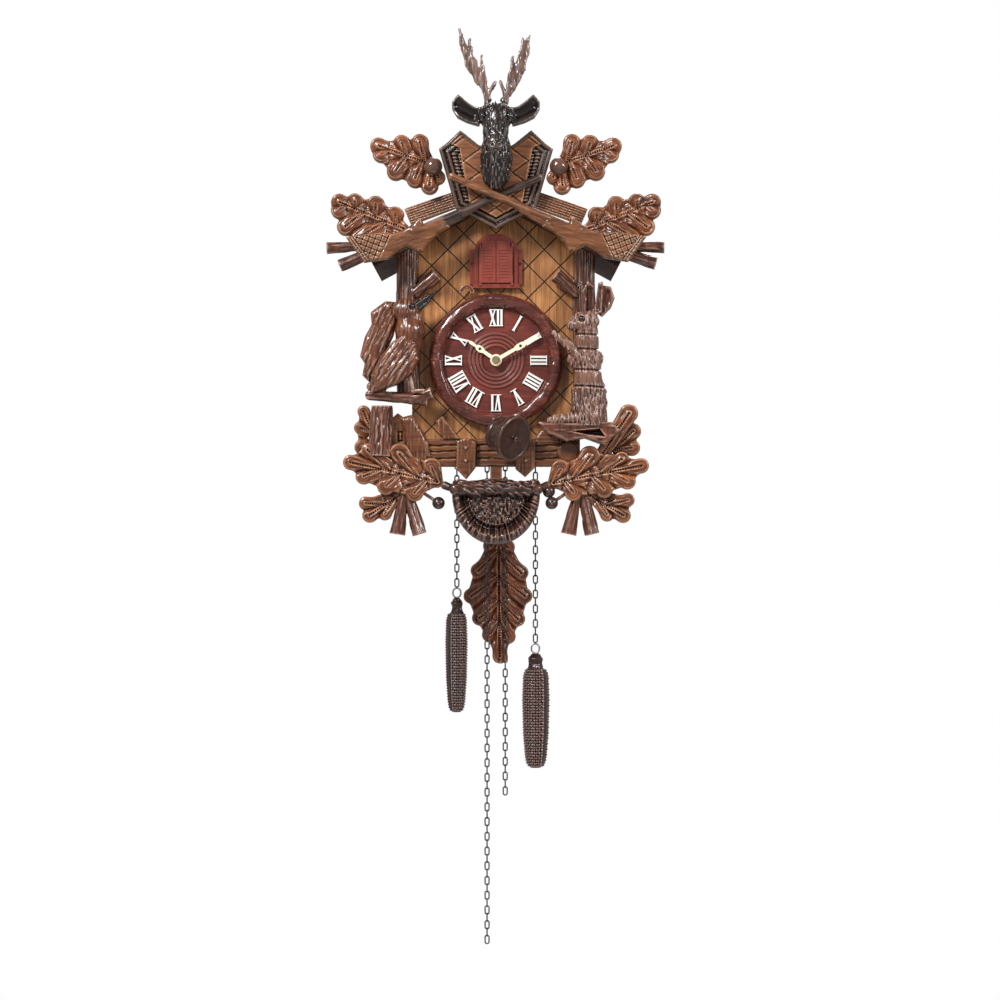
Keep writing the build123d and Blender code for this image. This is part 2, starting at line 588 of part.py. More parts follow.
# ---------------------------------------------------------------- movement
def movement():
    """Two plates on four pillars that reach the front board, with the pendulum's cock on the back plate."""
    corners = [(x, z) for x in (-PILLAR_X, PILLAR_X) for z in (PLATE_TOP - 6, PLATE_BOTTOM + 6)]
    pivots = [
        (0, DIAL_Z, 2.0),
        (-SPROCKET_X, SPROCKET_Z, ARBOR_R),
        (SPROCKET_X, SPROCKET_Z, ARBOR_R),
        (*PIN_WHEEL, ARBOR_R),
        (0, PIVOT_Z, ARBOR_R),
        (0, ESCAPE_Z, ARBOR_R),
        (0, BIRD_WIRE_Z, 0.9),
    ]
    sheets = []
    for front in (FRONT_PLATE_Y, BACK_PLATE_Y):
        sheet = block(-PLATE_HALF, PLATE_HALF, front, front + PLATE_T, PLATE_BOTTOM, PLATE_TOP)
        sheet += block(-3, 3, front, front + PLATE_T, PLATE_TOP, BIRD_WIRE_Z + 2.5)
        for x, z in corners:
            sheet -= disc(x, z, 2.5, front - 1, front + PLATE_T + 1)
        for x, z, radius in pivots:
            sheet -= disc(x, z, radius + RUNNING, front - 1, front + PLATE_T + 1)
        sheets.append(sheet)
    stud = motion_stud()
    sheets[0] += disc(*stud, ARBOR_R, FRONT_PLATE_Y - 9.5, FRONT_PLATE_Y)
    cock_back = PENDULUM_Y + 5
    sheets[1] += block(6, 10, BACK_PLATE_Y + PLATE_T, cock_back, PIVOT_Z - 4, PIVOT_Z + 4)
    sheets[1] += block(-2, 10, cock_back - 1.5, cock_back, PIVOT_Z - 2, PIVOT_Z + 4)
    sheets[1] += disc(0, PIVOT_Z, ARBOR_R, PENDULUM_Y - 3.5, cock_back)
    sheets[1] -= disc(*HAMMER_PIVOT, ARBOR_R + RUNNING, BACK_PLATE_Y - 1, BACK_PLATE_Y + PLATE_T + 1)
    posts = []
    for x, z in corners:
        post = disc(x, z, 2.5, FRONT_BACK_Y, BACK_PLATE_Y + PLATE_T)
        post += disc(x, z, 3.2, FRONT_PLATE_Y + PLATE_T, BACK_PLATE_Y)
        post += disc(x, z, 3.2, FRONT_BACK_Y, FRONT_PLATE_Y)
        posts += post.solids()
    return {
        "movement_plates": Compound([s for p in sheets for s in p.solids()]),
        "movement_pillars": Compound(posts),
    }


def arbor_at(x, z):
    return disc(x, z, ARBOR_R, FRONT_PLATE_Y - 0.5, BACK_PLATE_Y + PLATE_T + 0.5)


def train():
    great_front, great_back = -71.0, -68.0
    to_centre = direction(-SPROCKET_X, SPROCKET_Z, 0, DIAL_Z)
    great = gear(-SPROCKET_X, SPROCKET_Z, GEAR_MODULE, GREAT_TEETH, to_centre, great_front, great_back)
    great += sprocket(-SPROCKET_X, SPROCKET_Z) + arbor_at(-SPROCKET_X, SPROCKET_Z)

    centre_phase = to_centre + 180 + 180 / CENTRE_TEETH
    centre = gear(0, DIAL_Z, GEAR_MODULE, CENTRE_TEETH, centre_phase, great_front, great_back)
    centre += disc(0, DIAL_Z, 4.0, -80, -50)
    centre -= disc(0, DIAL_Z, 2.0 + RUNNING, -90, -40)

    to_pin = direction(SPROCKET_X, SPROCKET_Z, *PIN_WHEEL)
    strike_front, strike_back = great_front - 5, great_back - 5
    strike = gear(SPROCKET_X, SPROCKET_Z, GEAR_MODULE, GREAT_TEETH, to_pin, strike_front, strike_back)
    strike += sprocket(SPROCKET_X, SPROCKET_Z) + arbor_at(SPROCKET_X, SPROCKET_Z)
    pin_phase = to_pin + 180 + 180 / PIN_TEETH
    pin = gear(*PIN_WHEEL, GEAR_MODULE, PIN_TEETH, pin_phase, strike_front, strike_back)
    pin += arbor_at(*PIN_WHEEL)
    for quarter in range(4):
        x, z = turned([(6.5, 0)], *PIN_WHEEL, 90 * quarter + 20)[0]
        pin += disc(x, z, 0.8, strike_back, strike_back + 6)

    escape = escape_wheel() + arbor_at(0, ESCAPE_Z)
    half = [(2.5, -61), (9, -70), (11, -74), (9.4, -74.6), (6.5, -70)]
    anchor = plate(half + [(-x, z) for x, z in reversed(half)], -50, -48)
    anchor += disc(0, PIVOT_Z, ARBOR_R, FRONT_PLATE_Y - 0.5, PENDULUM_Y - 5)
    anchor += rod((0, PENDULUM_Y - 5.5, PIVOT_Z), (0, PENDULUM_Y - 5.5, -100), 0.8)
    for x in (-2.2, 2.2):
        anchor += rod((x, PENDULUM_Y - 5.5, -100), (x, PENDULUM_Y + 3, -100), 0.6)
    anchor += rod((-2.2, PENDULUM_Y - 5.5, -100), (2.2, PENDULUM_Y - 5.5, -100), 0.7)
    return {
        "time_great_wheel": great,
        "centre_wheel": centre,
        "strike_great_wheel": strike,
        "pin_wheel": pin,
        "escape_wheel": escape,
        "anchor_and_crutch": anchor,
    }


def sprocket(x, z):
    """A chain wheel: a grooved drum between two rims."""
    drum = disc(x, z, SPROCKET_R - CHAIN_R - 1.2, CHAIN_Y - 3, CHAIN_Y + 3)
    for y in (CHAIN_Y - 3.5, CHAIN_Y + 2.5):
        drum += disc(x, z, SPROCKET_R - CHAIN_R - 0.4, y, y + 1.0)
    return drum


def escape_wheel():
    """A thin wheel of fifteen hooked teeth."""
    teeth, tip, root = 15, 10.5, 7.8
    outline = []
    for i in range(teeth):
        base = 2 * math.pi * i / teeth
        for share, radius in ((0.0, root), (0.62, tip), (0.74, tip), (0.8, root)):
            angle = base + share * 2 * math.pi / teeth
            outline.append((radius * math.cos(angle), ESCAPE_Z + radius * math.sin(angle)))
    return plate(outline, -50, -48.8)


def bellows():
    """A whistle box with its bellows on each side, and the bellows' lids."""
    near, far, hinge_y, hinge_z, leaf_r = 45.0, 57.8, -50.0, -70.8, 1.2
    box = block(near, far, -80, hinge_y, -168, -80) + block(near + 1, far - 1, -80, hinge_y, -80, -72.2)
    box -= block(near + 3, far - 3, -81, -76, -96, -91)
    lid = block(near, far, -81, hinge_y, -72, -69.6)
    lid += rod((near, hinge_y, hinge_z), (far, hinge_y, hinge_z), leaf_r)
    return {"bellows_boxes": both(box), "bellows_lid_right": lid, "bellows_lid_left": mirrored(lid)}


def gong():
    """A flat spiral rod gong on a block, and the hammer that strikes its outer turn."""
    y, inner, outer, turns, wire_r = -17.0, 20.0, 34.0, 2.5, 1.1
    steps = int(turns * 12)
    points = []
    for i in range(steps + 1):
        t = i / steps
        radius, angle = outer + (inner - outer) * t, 2 * math.pi * turns * t
        points.append((radius * math.cos(angle), y, DIAL_Z + radius * math.sin(angle)))
    path = Spline(*points)
    coil = sweep((path ^ 0) * Circle(wire_r), path=path)
    coil += rod((54, y, DIAL_Z), (outer - 2, y, DIAL_Z), wire_r + 0.5)
    coil += block(50.2, 57.8, y - 6, -BOARD, DIAL_Z - 6, DIAL_Z + 6)

    x, z = HAMMER_PIVOT
    arm_y, head_x, head_z = y - 5, -44.0, z + 42
    hammer = disc(x, z, ARBOR_R, BACK_PLATE_Y - 0.5, arm_y + 1)
    hammer += rod((x, arm_y, z), (head_x, arm_y, z + 20), 0.9)
    hammer += rod((head_x, arm_y, z + 20), (head_x, arm_y, head_z), 0.9)
    hammer += disc(head_x, head_z, 2.6, arm_y - 1, y + 4)
    return {"gong": coil, "gong_hammer": hammer}


# ---------------------------------------------------------------- pendulum, chains and weights
def pendulum():
    y = PENDULUM_Y
    wire = rod((0, y, PIVOT_Z - 2), (0, y, -292), 1.3)
    eye = rod((0, y - 2.2, PIVOT_Z), (0, y + 2.2, PIVOT_Z), 2.8)
    eye -= rod((0, y - 3, PIVOT_Z), (0, y + 3, PIVOT_Z), 1.3)
    wire = wire - rod((0, y - 3, PIVOT_Z), (0, y + 3, PIVOT_Z), 1.3)
    bob = leaf(2, -280, direction(2, -280, 1.5, -370), 82, 30, y - 5, y + 3)
    bob += plate([(-4, -352), (9, -352), (9, -370), (4, -390), (-4, -372)], y - 4, y + 2)
    bob -= wire
    return {"pendulum_rod": wire + eye, "pendulum_leaf": biggest(bob, 1)}


def strand(x, low, high):
    return rod((x, CHAIN_Y, high), (x, CHAIN_Y, low), CHAIN_R)


def weight(x, hook_z):
    """A cast fir-cone weight below its wire ring."""
    ring_r, wire_r = 4.2, 0.7
    ring = Pos(x, CHAIN_Y, hook_z - ring_r + wire_r) * Rot(90, 0, 0) * Torus(ring_r, wire_r)
    shoulder = [(0, 0), (4, 0), (6.5, -6), (6.5, -11), (9.5, -16), (11.5, -30)]
    toe = [(11.8, -50), (10.5, -76), (8, -94), (4.5, -WEIGHT_LENGTH), (0, -WEIGHT_LENGTH)]
    cone = revolve(Plane.XZ * make_face(Polyline(*shoulder, *toe, close=True)), Axis.Z)
    return Pos(x, CHAIN_Y, hook_z - 2 * ring_r) * cone + ring


def chains_and_weights():
    low = {"time": TIME_HOOK_Z, "strike": STRIKE_HOOK_Z}
    free = {"time": TIME_FREE_Z, "strike": STRIKE_FREE_Z}
    made = {}
    for train_name, side in (("time", -1), ("strike", 1)):
        hook = low[train_name]
        made[f"{train_name}_weight"] = weight(side * 34.6, hook)
        made[f"{train_name}_chain_loaded"] = strand(side * 34.6, hook + 1.4, SPROCKET_Z)
        made[f"{train_name}_chain_free"] = strand(side * 8.0, free[train_name], SPROCKET_Z)
    return made


def glued_on(nodes):
    """The trunks and figures, each scribed to the pieces that it is glued against."""
    base = ("dial_ring", "leaves_lower", "twigs_lower", "door_frame")
    figures = front_figures([nodes[name] for name in base])
    log = both(trunk())
    for shape in [nodes[name] for name in base] + list(figures.values()):
        log = log - shape
    return {**figures, "trunks": biggest(log, 2)}


def main():
    nodes = {**case_boards(), **back(), **roof(), **crown(), **stag(), **rifles(), **foliage()}
    nodes.update({**dial(), **hands(), **cuckoo()})
    nodes.update(glued_on(nodes))
    nodes.update({**movement(), **train(), **bellows(), **gong(), **pendulum(), **chains_and_weights()})
    os.makedirs("parts", exist_ok=True)
    for name, shape in nodes.items():
        export_step(shape, f"parts/{name}.step")
    print(len(nodes), "nodes")


main()
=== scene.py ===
"""Looks for the carved cuckoo clock: carvings grown from distance fields, chains, cone weights, procedural
materials, soft light and the camera. Shapes are written in millimetres, in the CAD model's frame."""

import math

import bpy
import numpy as np
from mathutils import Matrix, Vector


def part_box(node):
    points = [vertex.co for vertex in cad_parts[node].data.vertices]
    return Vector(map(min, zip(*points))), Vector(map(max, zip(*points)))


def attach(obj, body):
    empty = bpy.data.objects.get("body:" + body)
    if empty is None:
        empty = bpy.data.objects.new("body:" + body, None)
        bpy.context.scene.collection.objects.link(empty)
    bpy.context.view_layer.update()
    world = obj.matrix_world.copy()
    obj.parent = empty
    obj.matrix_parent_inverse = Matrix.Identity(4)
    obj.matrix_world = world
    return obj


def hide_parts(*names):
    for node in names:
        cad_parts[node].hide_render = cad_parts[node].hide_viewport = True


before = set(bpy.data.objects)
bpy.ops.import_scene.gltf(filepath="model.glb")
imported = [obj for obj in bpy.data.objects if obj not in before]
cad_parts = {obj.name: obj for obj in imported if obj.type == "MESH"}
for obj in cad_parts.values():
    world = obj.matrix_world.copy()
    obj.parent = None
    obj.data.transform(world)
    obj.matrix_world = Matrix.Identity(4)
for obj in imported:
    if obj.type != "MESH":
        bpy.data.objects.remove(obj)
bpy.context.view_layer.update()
MM = 0.001


# ---------------------------------------------------------------- places read from the frame
def span(node):
    """A node's low and high corners in millimetres."""
    low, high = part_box(node)
    return [v / MM for v in low], [v / MM for v in high]


FRONT = span("front_board")[0][1]  # front face of the front board
ROOF = span("roof_boards")[0][1]
GABLE = span("gable_boards")[0][1]
CROWN = span("crown_panel")[0][1]
DIAL_LOW, DIAL_HIGH = span("dial_ring")
DIAL_Z = (DIAL_LOW[2] + DIAL_HIGH[2]) / 2
CHAIN_Y = sum(side[1] for side in span("time_chain_free")) / 2
PENDULUM = span("pendulum_leaf")


# ---------------------------------------------------------------- distance fields, in millimetres
def rod(p, a, b, ra, rb=None):
    """Distance to a rod from a to b whose radius goes from ra to rb, in the plane or in space."""
    gap, share = along(p, a, b)
    rb = ra if rb is None else rb
    return gap - (ra + (rb - ra) * share)


def along(p, a, b):
    """Distance to the line from a to b, and the share of it passed at the nearest point."""
    ab = [v - u for u, v in zip(a, b)]
    share = sum((c - u) * v for c, u, v in zip(p, a, ab)) / sum(v * v for v in ab)
    share = np.clip(share, 0, 1)
    gap = sum((c - u - v * share) ** 2 for c, u, v in zip(p, a, ab))
    return np.sqrt(gap), share


def log(p, a, b, ra, rb, depth, grain, seed):
    """A rod with lengthwise bark, cut off flat at b: streaks about as wide and as long as grain says."""
    length = np.linalg.norm(np.subtract(b, a))
    axis = np.subtract(b, a) / length
    side = np.cross(axis, (0.0, 1.0, 0.0))
    side = side / np.linalg.norm(side)
    third = np.cross(axis, side)
    q = [c - m for c, m in zip(p, a)]
    u, v, t = [sum(c * k for c, k in zip(q, w)) for w in (side, third, axis)]
    around = np.arctan2(v, u) * ra
    streaks = noise(around / grain[0] + 40, t / grain[1], seed) * 0.65
    streaks = streaks + 0.35 * noise(around / grain[0] * 2.2 + 60, t / grain[1] * 1.7, seed + 1)
    bark = rod(p, a, b, ra, rb) + depth * (1 - sharpen(streaks))
    dish = 1.2 * np.clip(1 - np.hypot(u, v) / rb, 0, 1)
    return np.maximum(bark, t - length + dish)


def ball(p, centre, radii):
    """Distance to an ellipsoid, nearly, or to a sphere when radii is one number."""
    radii = np.broadcast_to(radii, 3)
    q = [(c - m) / r for c, m, r in zip(p, centre, radii)]
    k = np.sqrt(sum(v * v for v in q))
    slope = np.sqrt(sum((v / r) ** 2 for v, r in zip(q, radii))) + 1e-6
    return k * (k - 1) / slope


def blade(edge, depth, half, radius):
    """A flat blade with rounded edges, from its edge distance in XZ and its depth from the middle plane."""
    a, b = edge + radius, np.abs(depth) - half + radius
    outside = np.hypot(np.maximum(a, 0), np.maximum(b, 0))
    return outside + np.minimum(np.maximum(a, b), 0) - radius


def bead(p, centre, size):
    """A bead eye in a rim that faces the viewer."""
    rim = np.hypot(np.hypot(p[0] - centre[0], p[2] - centre[2]) - size, p[1] - centre[1] - 0.2) - 0.3 * size
    return join(ball(p, centre, size), rim, 0.15)


def join(a, b, blend=0.0):
    if not blend:
        return np.minimum(a, b)
    h = np.clip(0.5 + 0.5 * (b - a) / blend, 0, 1)
    return b * (1 - h) + a * h - blend * h * (1 - h)


def joined(fields, blend=0.0):
    total = fields[0]
    for field in fields[1:]:
        total = join(total, field, blend)
    return total


def cut(a, b, blend=0.0):
    return -join(-a, b, blend)


def turned(x, z, centre, degrees):
    """Coordinates along and across a direction that points degrees anticlockwise from +X, from centre."""
    c, s = math.cos(math.radians(degrees)), math.sin(math.radians(degrees))
    return c * (x - centre[0]) + s * (z - centre[1]), c * (z - centre[1]) - s * (x - centre[0])


def outline(x, z, points):
    """Distance to a polygon in a plane, negative inside."""
    nearest, inside = np.inf, False
    for (ax, az), (bx, bz) in zip(points, points[1:] + points[:1]):
        ex, ez = bx - ax, bz - az
        t = np.clip(((x - ax) * ex + (z - az) * ez) / (ex * ex + ez * ez), 0, 1)
        nearest = np.minimum(nearest, (x - ax - ex * t) ** 2 + (z - az - ez * t) ** 2)
        if az != bz:
            inside = inside ^ (((az > z) != (bz > z)) & (x < ax + (z - az) * ex / (bz - az)))
    return np.where(inside, -1, 1) * np.sqrt(nearest)


def mirror_pair(points):
    """A right half outline, top to bottom, with its mirror image."""
    return points + [(-x, z) for x, z in reversed(points) if x]


def noise(u, v, seed):
    """Smooth random heights from 0 to 1 over a unit grid."""
    i, j = np.floor(u), np.floor(v)
    f, g = (u - i) ** 2 * (3 - 2 * (u - i)), (v - j) ** 2 * (3 - 2 * (v - j))

    def at(a, b):
        spread = np.sin(a * 127.1 + b * 311.7 + seed * 74.7) * 43758.5453
        return spread - np.floor(spread)

    near = at(i, j) * (1 - f) + at(i + 1, j) * f
    far = at(i, j + 1) * (1 - f) + at(i + 1, j + 1) * f
    return near * (1 - g) + far * g


def sharpen(value):
    """Pushes heights between 0 and 1 apart, towards crisp strokes with flat tops."""
    return 1 / (1 + np.exp(-9 * (value - 0.45)))


def groove(distance, width, depth):
    """How deep a rounded groove is at a distance from its line."""
    return depth * np.exp(-((distance / width) ** 2))


def slab(p, back, thick, edge):
    """A solid in front of the plane Y = back, as thick as given, within an edge distance in XZ."""
    front = back - p[1]
    return np.maximum(np.maximum(front - thick, -front), edge)


def rounded(edge, thick, radius):
    """The thickness of a slab whose front edge is rounded."""
    depth = np.clip(1 + edge / radius, 0, 1)
    return thick - radius * (1 - np.sqrt(1 - depth * depth))


def plate(p, back, edge, thick, radius):
    """A slab whose front edge is rounded."""
    return slab(p, back, rounded(edge, thick, radius), edge)


# ---------------------------------------------------------------- meshes
def skin(name, field, low, high, cell=0.6):
    """The closed surface where a field crosses zero, with one vertex in each grid cell it passes through."""
    axes = [np.arange(a - cell, b + 2 * cell, cell) for a, b in zip(low, high)]
    grid = np.meshgrid(*axes, indexing="ij", sparse=True)
    d = np.array(np.broadcast_to(field(grid), [len(a) for a in axes]), dtype=np.float32)
    for side in (0, -1):
        d[side], d[:, side], d[:, :, side] = cell, cell, cell
    size = [n - 1 for n in d.shape]
    corners = [(i, j, k) for i in (0, 1) for j in (0, 1) for k in (0, 1)]

    def corner(c):
        return d[tuple(slice(start, start + n) for start, n in zip(c, size))]

    inside = sum((corner(c) < 0).astype(np.int8) for c in corners)
    mixed = (inside > 0) & (inside < 8)
    where = np.argwhere(mixed)
    number = np.full(size, -1, dtype=np.int64)
    number[mixed] = np.arange(len(where))
    value = {c: corner(c)[mixed] for c in corners}
    total, hits = np.zeros((len(where), 3)), np.zeros(len(where))
    for axis in range(3):
        for start in corners:
            if start[axis]:
                continue
            end = tuple(1 if k == axis else s for k, s in enumerate(start))
            a, b = value[start], value[end]
            crossing = (a < 0) != (b < 0)
            share = np.where(crossing, a / np.where(crossing, a - b, 1), 0)
            for k in range(3):
                total[:, k] += share if k == axis else crossing * start[k]
            hits += crossing
    places = where + total / hits[:, None]
    points = np.stack([axes[k][0] + cell * places[:, k] for k in range(3)], axis=1)
    faces = []
    for axis in range(3):
        u, v = (axis + 1) % 3, (axis + 2) % 3
        near = [slice(0, n) if k == axis else slice(1, n) for k, n in enumerate(size)]
        far = [slice(1, n + 1) if k == axis else slice(1, n) for k, n in enumerate(size)]
        a, b = d[tuple(near)] < 0, d[tuple(far)] < 0
        for outward in (True, False):
            cells = np.argwhere((a & ~b) if outward else (b & ~a))
            cells += [0 if k == axis else 1 for k in range(3)]
            ring = []
            for du, dv in ((0, 0), (1, 0), (1, 1), (0, 1)):
                shifted = cells.copy()
                shifted[:, u] -= du
                shifted[:, v] -= dv
                ring.append(number[tuple(shifted.T)])
            faces.append(np.stack(ring if outward else ring[::-1], axis=1))
    return mesh_object(name, points, np.concatenate(faces))


def mesh_object(name, points, quads):
    """A mesh from points in millimetres and faces of four."""
    mesh = bpy.data.meshes.new(name)
    mesh.vertices.add(len(points))
    mesh.vertices.foreach_set("co", (np.asarray(points) * MM).astype(np.float32).ravel())
    mesh.loops.add(4 * len(quads))
    mesh.loops.foreach_set("vertex_index", np.asarray(quads).astype(np.int32).ravel())
    mesh.polygons.add(len(quads))
    mesh.polygons.foreach_set("loop_start", np.arange(0, 4 * len(quads), 4, dtype=np.int32))
    mesh.update(calc_edges=True)
    mesh.shade_smooth()
    mark_hollows(mesh)
    obj = bpy.data.objects.new(name, mesh)
    bpy.context.scene.collection.objects.link(obj)
    return obj


SMOOTHING_ROUNDS = 4


def mark_hollows(mesh):
    """Stores how far each vertex lies below or above those near it as the attribute hollow, 0 deep, 1 proud."""
    count = len(mesh.vertices)
    place, normal = np.empty(count * 3), np.empty(count * 3)
    mesh.vertices.foreach_get("co", place)
    mesh.vertices.foreach_get("normal", normal)
    place, normal = place.reshape(-1, 3) / MM, normal.reshape(-1, 3)
    ends = np.empty(len(mesh.edges) * 2, dtype=np.int32)
    mesh.edges.foreach_get("vertices", ends)
    a, b = ends.reshape(-1, 2).T
    a, b = np.concatenate([a, b]), np.concatenate([b, a])
    degree = np.maximum(np.bincount(a, minlength=count), 1)

    def mean(values):
        return np.stack([np.bincount(a, values[b, k], count) / degree for k in range(values.shape[1])], 1)

    smooth = place
    for _ in range(SMOOTHING_ROUNDS):
        smooth = mean(smooth)
    proud = np.einsum("ij,ij->i", place - smooth, normal)[:, None]
    proud = 0.5 * (proud + mean(proud))
    layer = mesh.attributes.new("hollow", "FLOAT", "POINT")
    layer.data.foreach_set("value", np.clip(0.5 + 1.7 * proud[:, 0], 0, 1).astype(np.float32))


def finish_piece(obj, body, material, slot, *nodes):
    obj.data.materials.append(material)
    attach(obj, body)
    if nodes:
        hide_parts(*nodes)
    return obj


def carve(name, field, low, high, material, slot, *nodes, cell=0.6, body="case"):
    """A carved piece that stands for CAD nodes."""
    return finish_piece(skin(name, field, low, high, cell), body, material, slot, *nodes)


# ---------------------------------------------------------------- materials
# noise scales, in cells to the metre
BANDS, PORES, CLOUDS, SHEEN = 260, 1500, 38.0, 90.0
MOTTLE, PEEL, PATCHES = 160.0, 1400.0, 60.0
SCRATCHES, SPOTS = 1300.0, 120.0
BUMP_DEPTH = 0.0006
CUT_FROM, CUT_TO = 0.2, 2  # how far behind the case's front face the sides of its cuts are painted dark as shade, in millimetres
# near black: painted shade on the sides of the cuts
CUT_SHADE_COLOUR = (0.004, 0.002, 0.001, 1)


class Nodes:
    """A short way to write shader nodes: each call makes a node, sets its inputs and links its sources."""

    def __init__(self, name):
        self.material = bpy.data.materials.new(name)
        self.material.use_nodes = True
        self.tree = self.material.node_tree
        self.shader = self.tree.nodes["Principled BSDF"]

    def add(self, kind, settings=(), **inputs):
        node = self.tree.nodes.new(kind)
        for key, value in dict(settings).items():
            setattr(node, key, value)
        for key, value in inputs.items():
            self.put(node.inputs[key], value)
        return node

    def put(self, socket, value):
        if isinstance(value, bpy.types.NodeSocket):
            self.tree.links.new(value, socket)
        else:
            socket.default_value = value

    def place(self, stretch):
        """The piece's own coordinates, scaled by axis."""
        where = self.add("ShaderNodeTexCoord").outputs["Object"]
        return self.add("ShaderNodeMapping", Vector=where, Scale=stretch).outputs["Vector"]

    def noise(self, stretch, scale, detail=4.0, rough=0.6):
        settings = {"Scale": scale, "Detail": detail, "Roughness": rough}
        return self.add("ShaderNodeTexNoise", Vector=self.place(stretch), **settings).outputs["Fac"]

    def ramp(self, value, *stops):
        """A colour or grey that follows a value through (position, colour) stops."""
        node = self.add("ShaderNodeValToRGB", Fac=value)
        band = node.color_ramp.elements
        while len(band) < len(stops):
            band.new(1.0)
        for element, (position, colour) in zip(band, stops):
            element.position = position
            element.color = (*colour, 1) if isinstance(colour, tuple) else (colour, colour, colour, 1)
        return node.outputs["Color"]

    def mix(self, share, a, b, how="MIX"):
        node = self.tree.nodes.new("ShaderNodeMix")
        node.data_type = "RGBA"
        node.blend_type = how
        colours = [s for s in node.inputs if s.type == "RGBA"]
        self.put(node.inputs["Factor"], share)
        self.put(colours[0], a)
        self.put(colours[1], b)
        return [s for s in node.outputs if s.type == "RGBA"][0]

    def math(self, how, a, b=0.0):
        node = self.tree.nodes.new("ShaderNodeMath")
        node.operation = how
        self.put(node.inputs[0], a)
        self.put(node.inputs[1], b)
        return node.outputs[0]

    def finish(self, colour, roughness, height, bump, **constants):
        self.put(self.shader.inputs["Base Color"], colour)
        self.put(self.shader.inputs["Roughness"], roughness)
        lift = self.add("ShaderNodeBump", Height=height, Strength=bump, Distance=BUMP_DEPTH)
        self.put(self.shader.inputs["Normal"], lift.outputs["Normal"])
        for key, value in constants.items():
            self.shader.inputs[key.replace("_", " ")].default_value = value
        return self.material


def srgb(r, g, b):
    """A colour given as it shows on screen, 0 to 255."""
    return tuple(((v / 255 + 0.055) / 1.055) ** 2.4 if v > 10 else v / 255 / 12.92 for v in (r, g, b))


EVEN = (1.0, 1.0, 1.0)
GRAIN = {"x": (0.09, 1.0, 1.0), "y": (1.0, 0.09, 1.0), "z": (1.0, 1.0, 0.09)}


def wood(name, dark, light, grain="z", carved=True, gloss=0.3, wear_and_highlight_colour=None, coat=0.35, deep=None):
    """Stained, lacquered wood: grain bands, fine pores, hollows darkened by staining and painted shade, ridges
    lightened by wear and painted highlights.
    """
    n = Nodes(name)
    stretch = GRAIN[grain]
    dark, light = srgb(*dark), srgb(*light)
    bands = n.noise(stretch, BANDS, 5.0, 0.62)
    pores = n.noise(tuple(v * v for v in stretch), PORES, 2.0, 0.7)
    broad = n.noise(EVEN, CLOUDS, 2.0, 0.5)
    colour = n.ramp(bands, (0.3, dark), (0.68, light))
    colour = n.mix(n.ramp(pores, (0.35, 0.55), (0.55, 0.0)), colour, (*[v * 0.35 for v in dark], 1))
    colour = n.mix(n.ramp(broad, (0.35, 0.45), (0.65, 0.0)), colour, (*[v * 0.6 for v in dark], 1))
    height = n.math("ADD", n.math("MULTIPLY", bands, 0.5), n.math("MULTIPLY", pores, 0.35))
    # painted light from the hollow attribute: staining plus painted shade in the hollows, wear plus painted
    # highlights on the ridges
    if carved:
        # the ridge colour, near white by default: a painted highlight over worn wood
        wear_and_highlight_colour = srgb(*wear_and_highlight_colour) if wear_and_highlight_colour else tuple(min(1, 1.9 * v + 0.03) for v in light)
        depth = n.add("ShaderNodeAttribute", {"attribute_name": "hollow"}).outputs["Fac"]
        # near-black darkening of the hollows: staining and painted shade
        stain_and_shade = n.ramp(depth, (0.2, 0.97), (0.47, 0.0))
        # lightening of the proud ridges: wear and painted highlight
        wear_and_highlight = n.ramp(depth, (0.58, 0.0), (0.95, 0.55))
        colour = n.mix(stain_and_shade, colour, (*[v * 0.07 for v in dark], 1))
        colour = n.mix(wear_and_highlight, colour, (*wear_and_highlight_colour, 1))
    # the sides of the case's cuts just behind its front face are painted near black as shade
    if deep:
        where = n.add("ShaderNodeTexCoord").outputs["Object"]
        sunk = n.add("ShaderNodeSeparateXYZ", Vector=where).outputs["Y"]
        below = n.math("GREATER_THAN", sunk, (deep + CUT_FROM) * MM)
        above = n.math("LESS_THAN", sunk, (deep + CUT_TO) * MM)
        colour = n.mix(n.math("MULTIPLY", below, above), colour, CUT_SHADE_COLOUR)
    rough = n.ramp(n.noise(stretch, SHEEN), (0.3, gloss - 0.07), (0.7, gloss + 0.12))
    return n.finish(colour, rough, height, 0.5, Coat_Weight=coat, Coat_Roughness=0.14, IOR=1.45)


def painted(name, colour, gloss=0.3, speck=0.25, coat=0.3):
    """Moulded or painted plastic: faint mottling, fine orange-peel texture and rubbed patches."""
    n = Nodes(name)
    mottle = n.noise(EVEN, MOTTLE, 4.0)
    peel = n.noise(EVEN, PEEL, 2.0)
    colour = srgb(*colour)
    deep = tuple(v * (1 - speck) for v in colour)
    body = n.ramp(mottle, (0.3, deep), (0.7, colour))
    rough = n.ramp(n.noise(EVEN, PATCHES), (0.3, gloss - 0.08), (0.7, gloss + 0.12))
    return n.finish(body, rough, n.math("ADD", peel, mottle), 0.25, Coat_Weight=coat, Coat_Roughness=0.2)


def metal(name, colour, rough, brush="x", tarnish=0.35):
    """Brushed or cast metal with fine scratches and dull spots."""
    n = Nodes(name)
    scratches = n.noise(tuple(v * v for v in GRAIN[brush]), SCRATCHES, 3.0, 0.7)
    spots = n.noise(EVEN, SPOTS, 5.0)
    colour = srgb(*colour)
    dull = tuple(v * (1 - tarnish) for v in colour)
    body = n.mix(n.ramp(spots, (0.35, 0.9), (0.6, 0.0)), (*colour, 1), (*dull, 1))
    wear = n.math("ADD", scratches, n.math("MULTIPLY", spots, 0.5))
    shine = n.ramp(wear, (0.45, rough - 0.1), (0.95, rough + 0.2))
    return n.finish(body, shine, scratches, 0.3, Metallic=1.0)


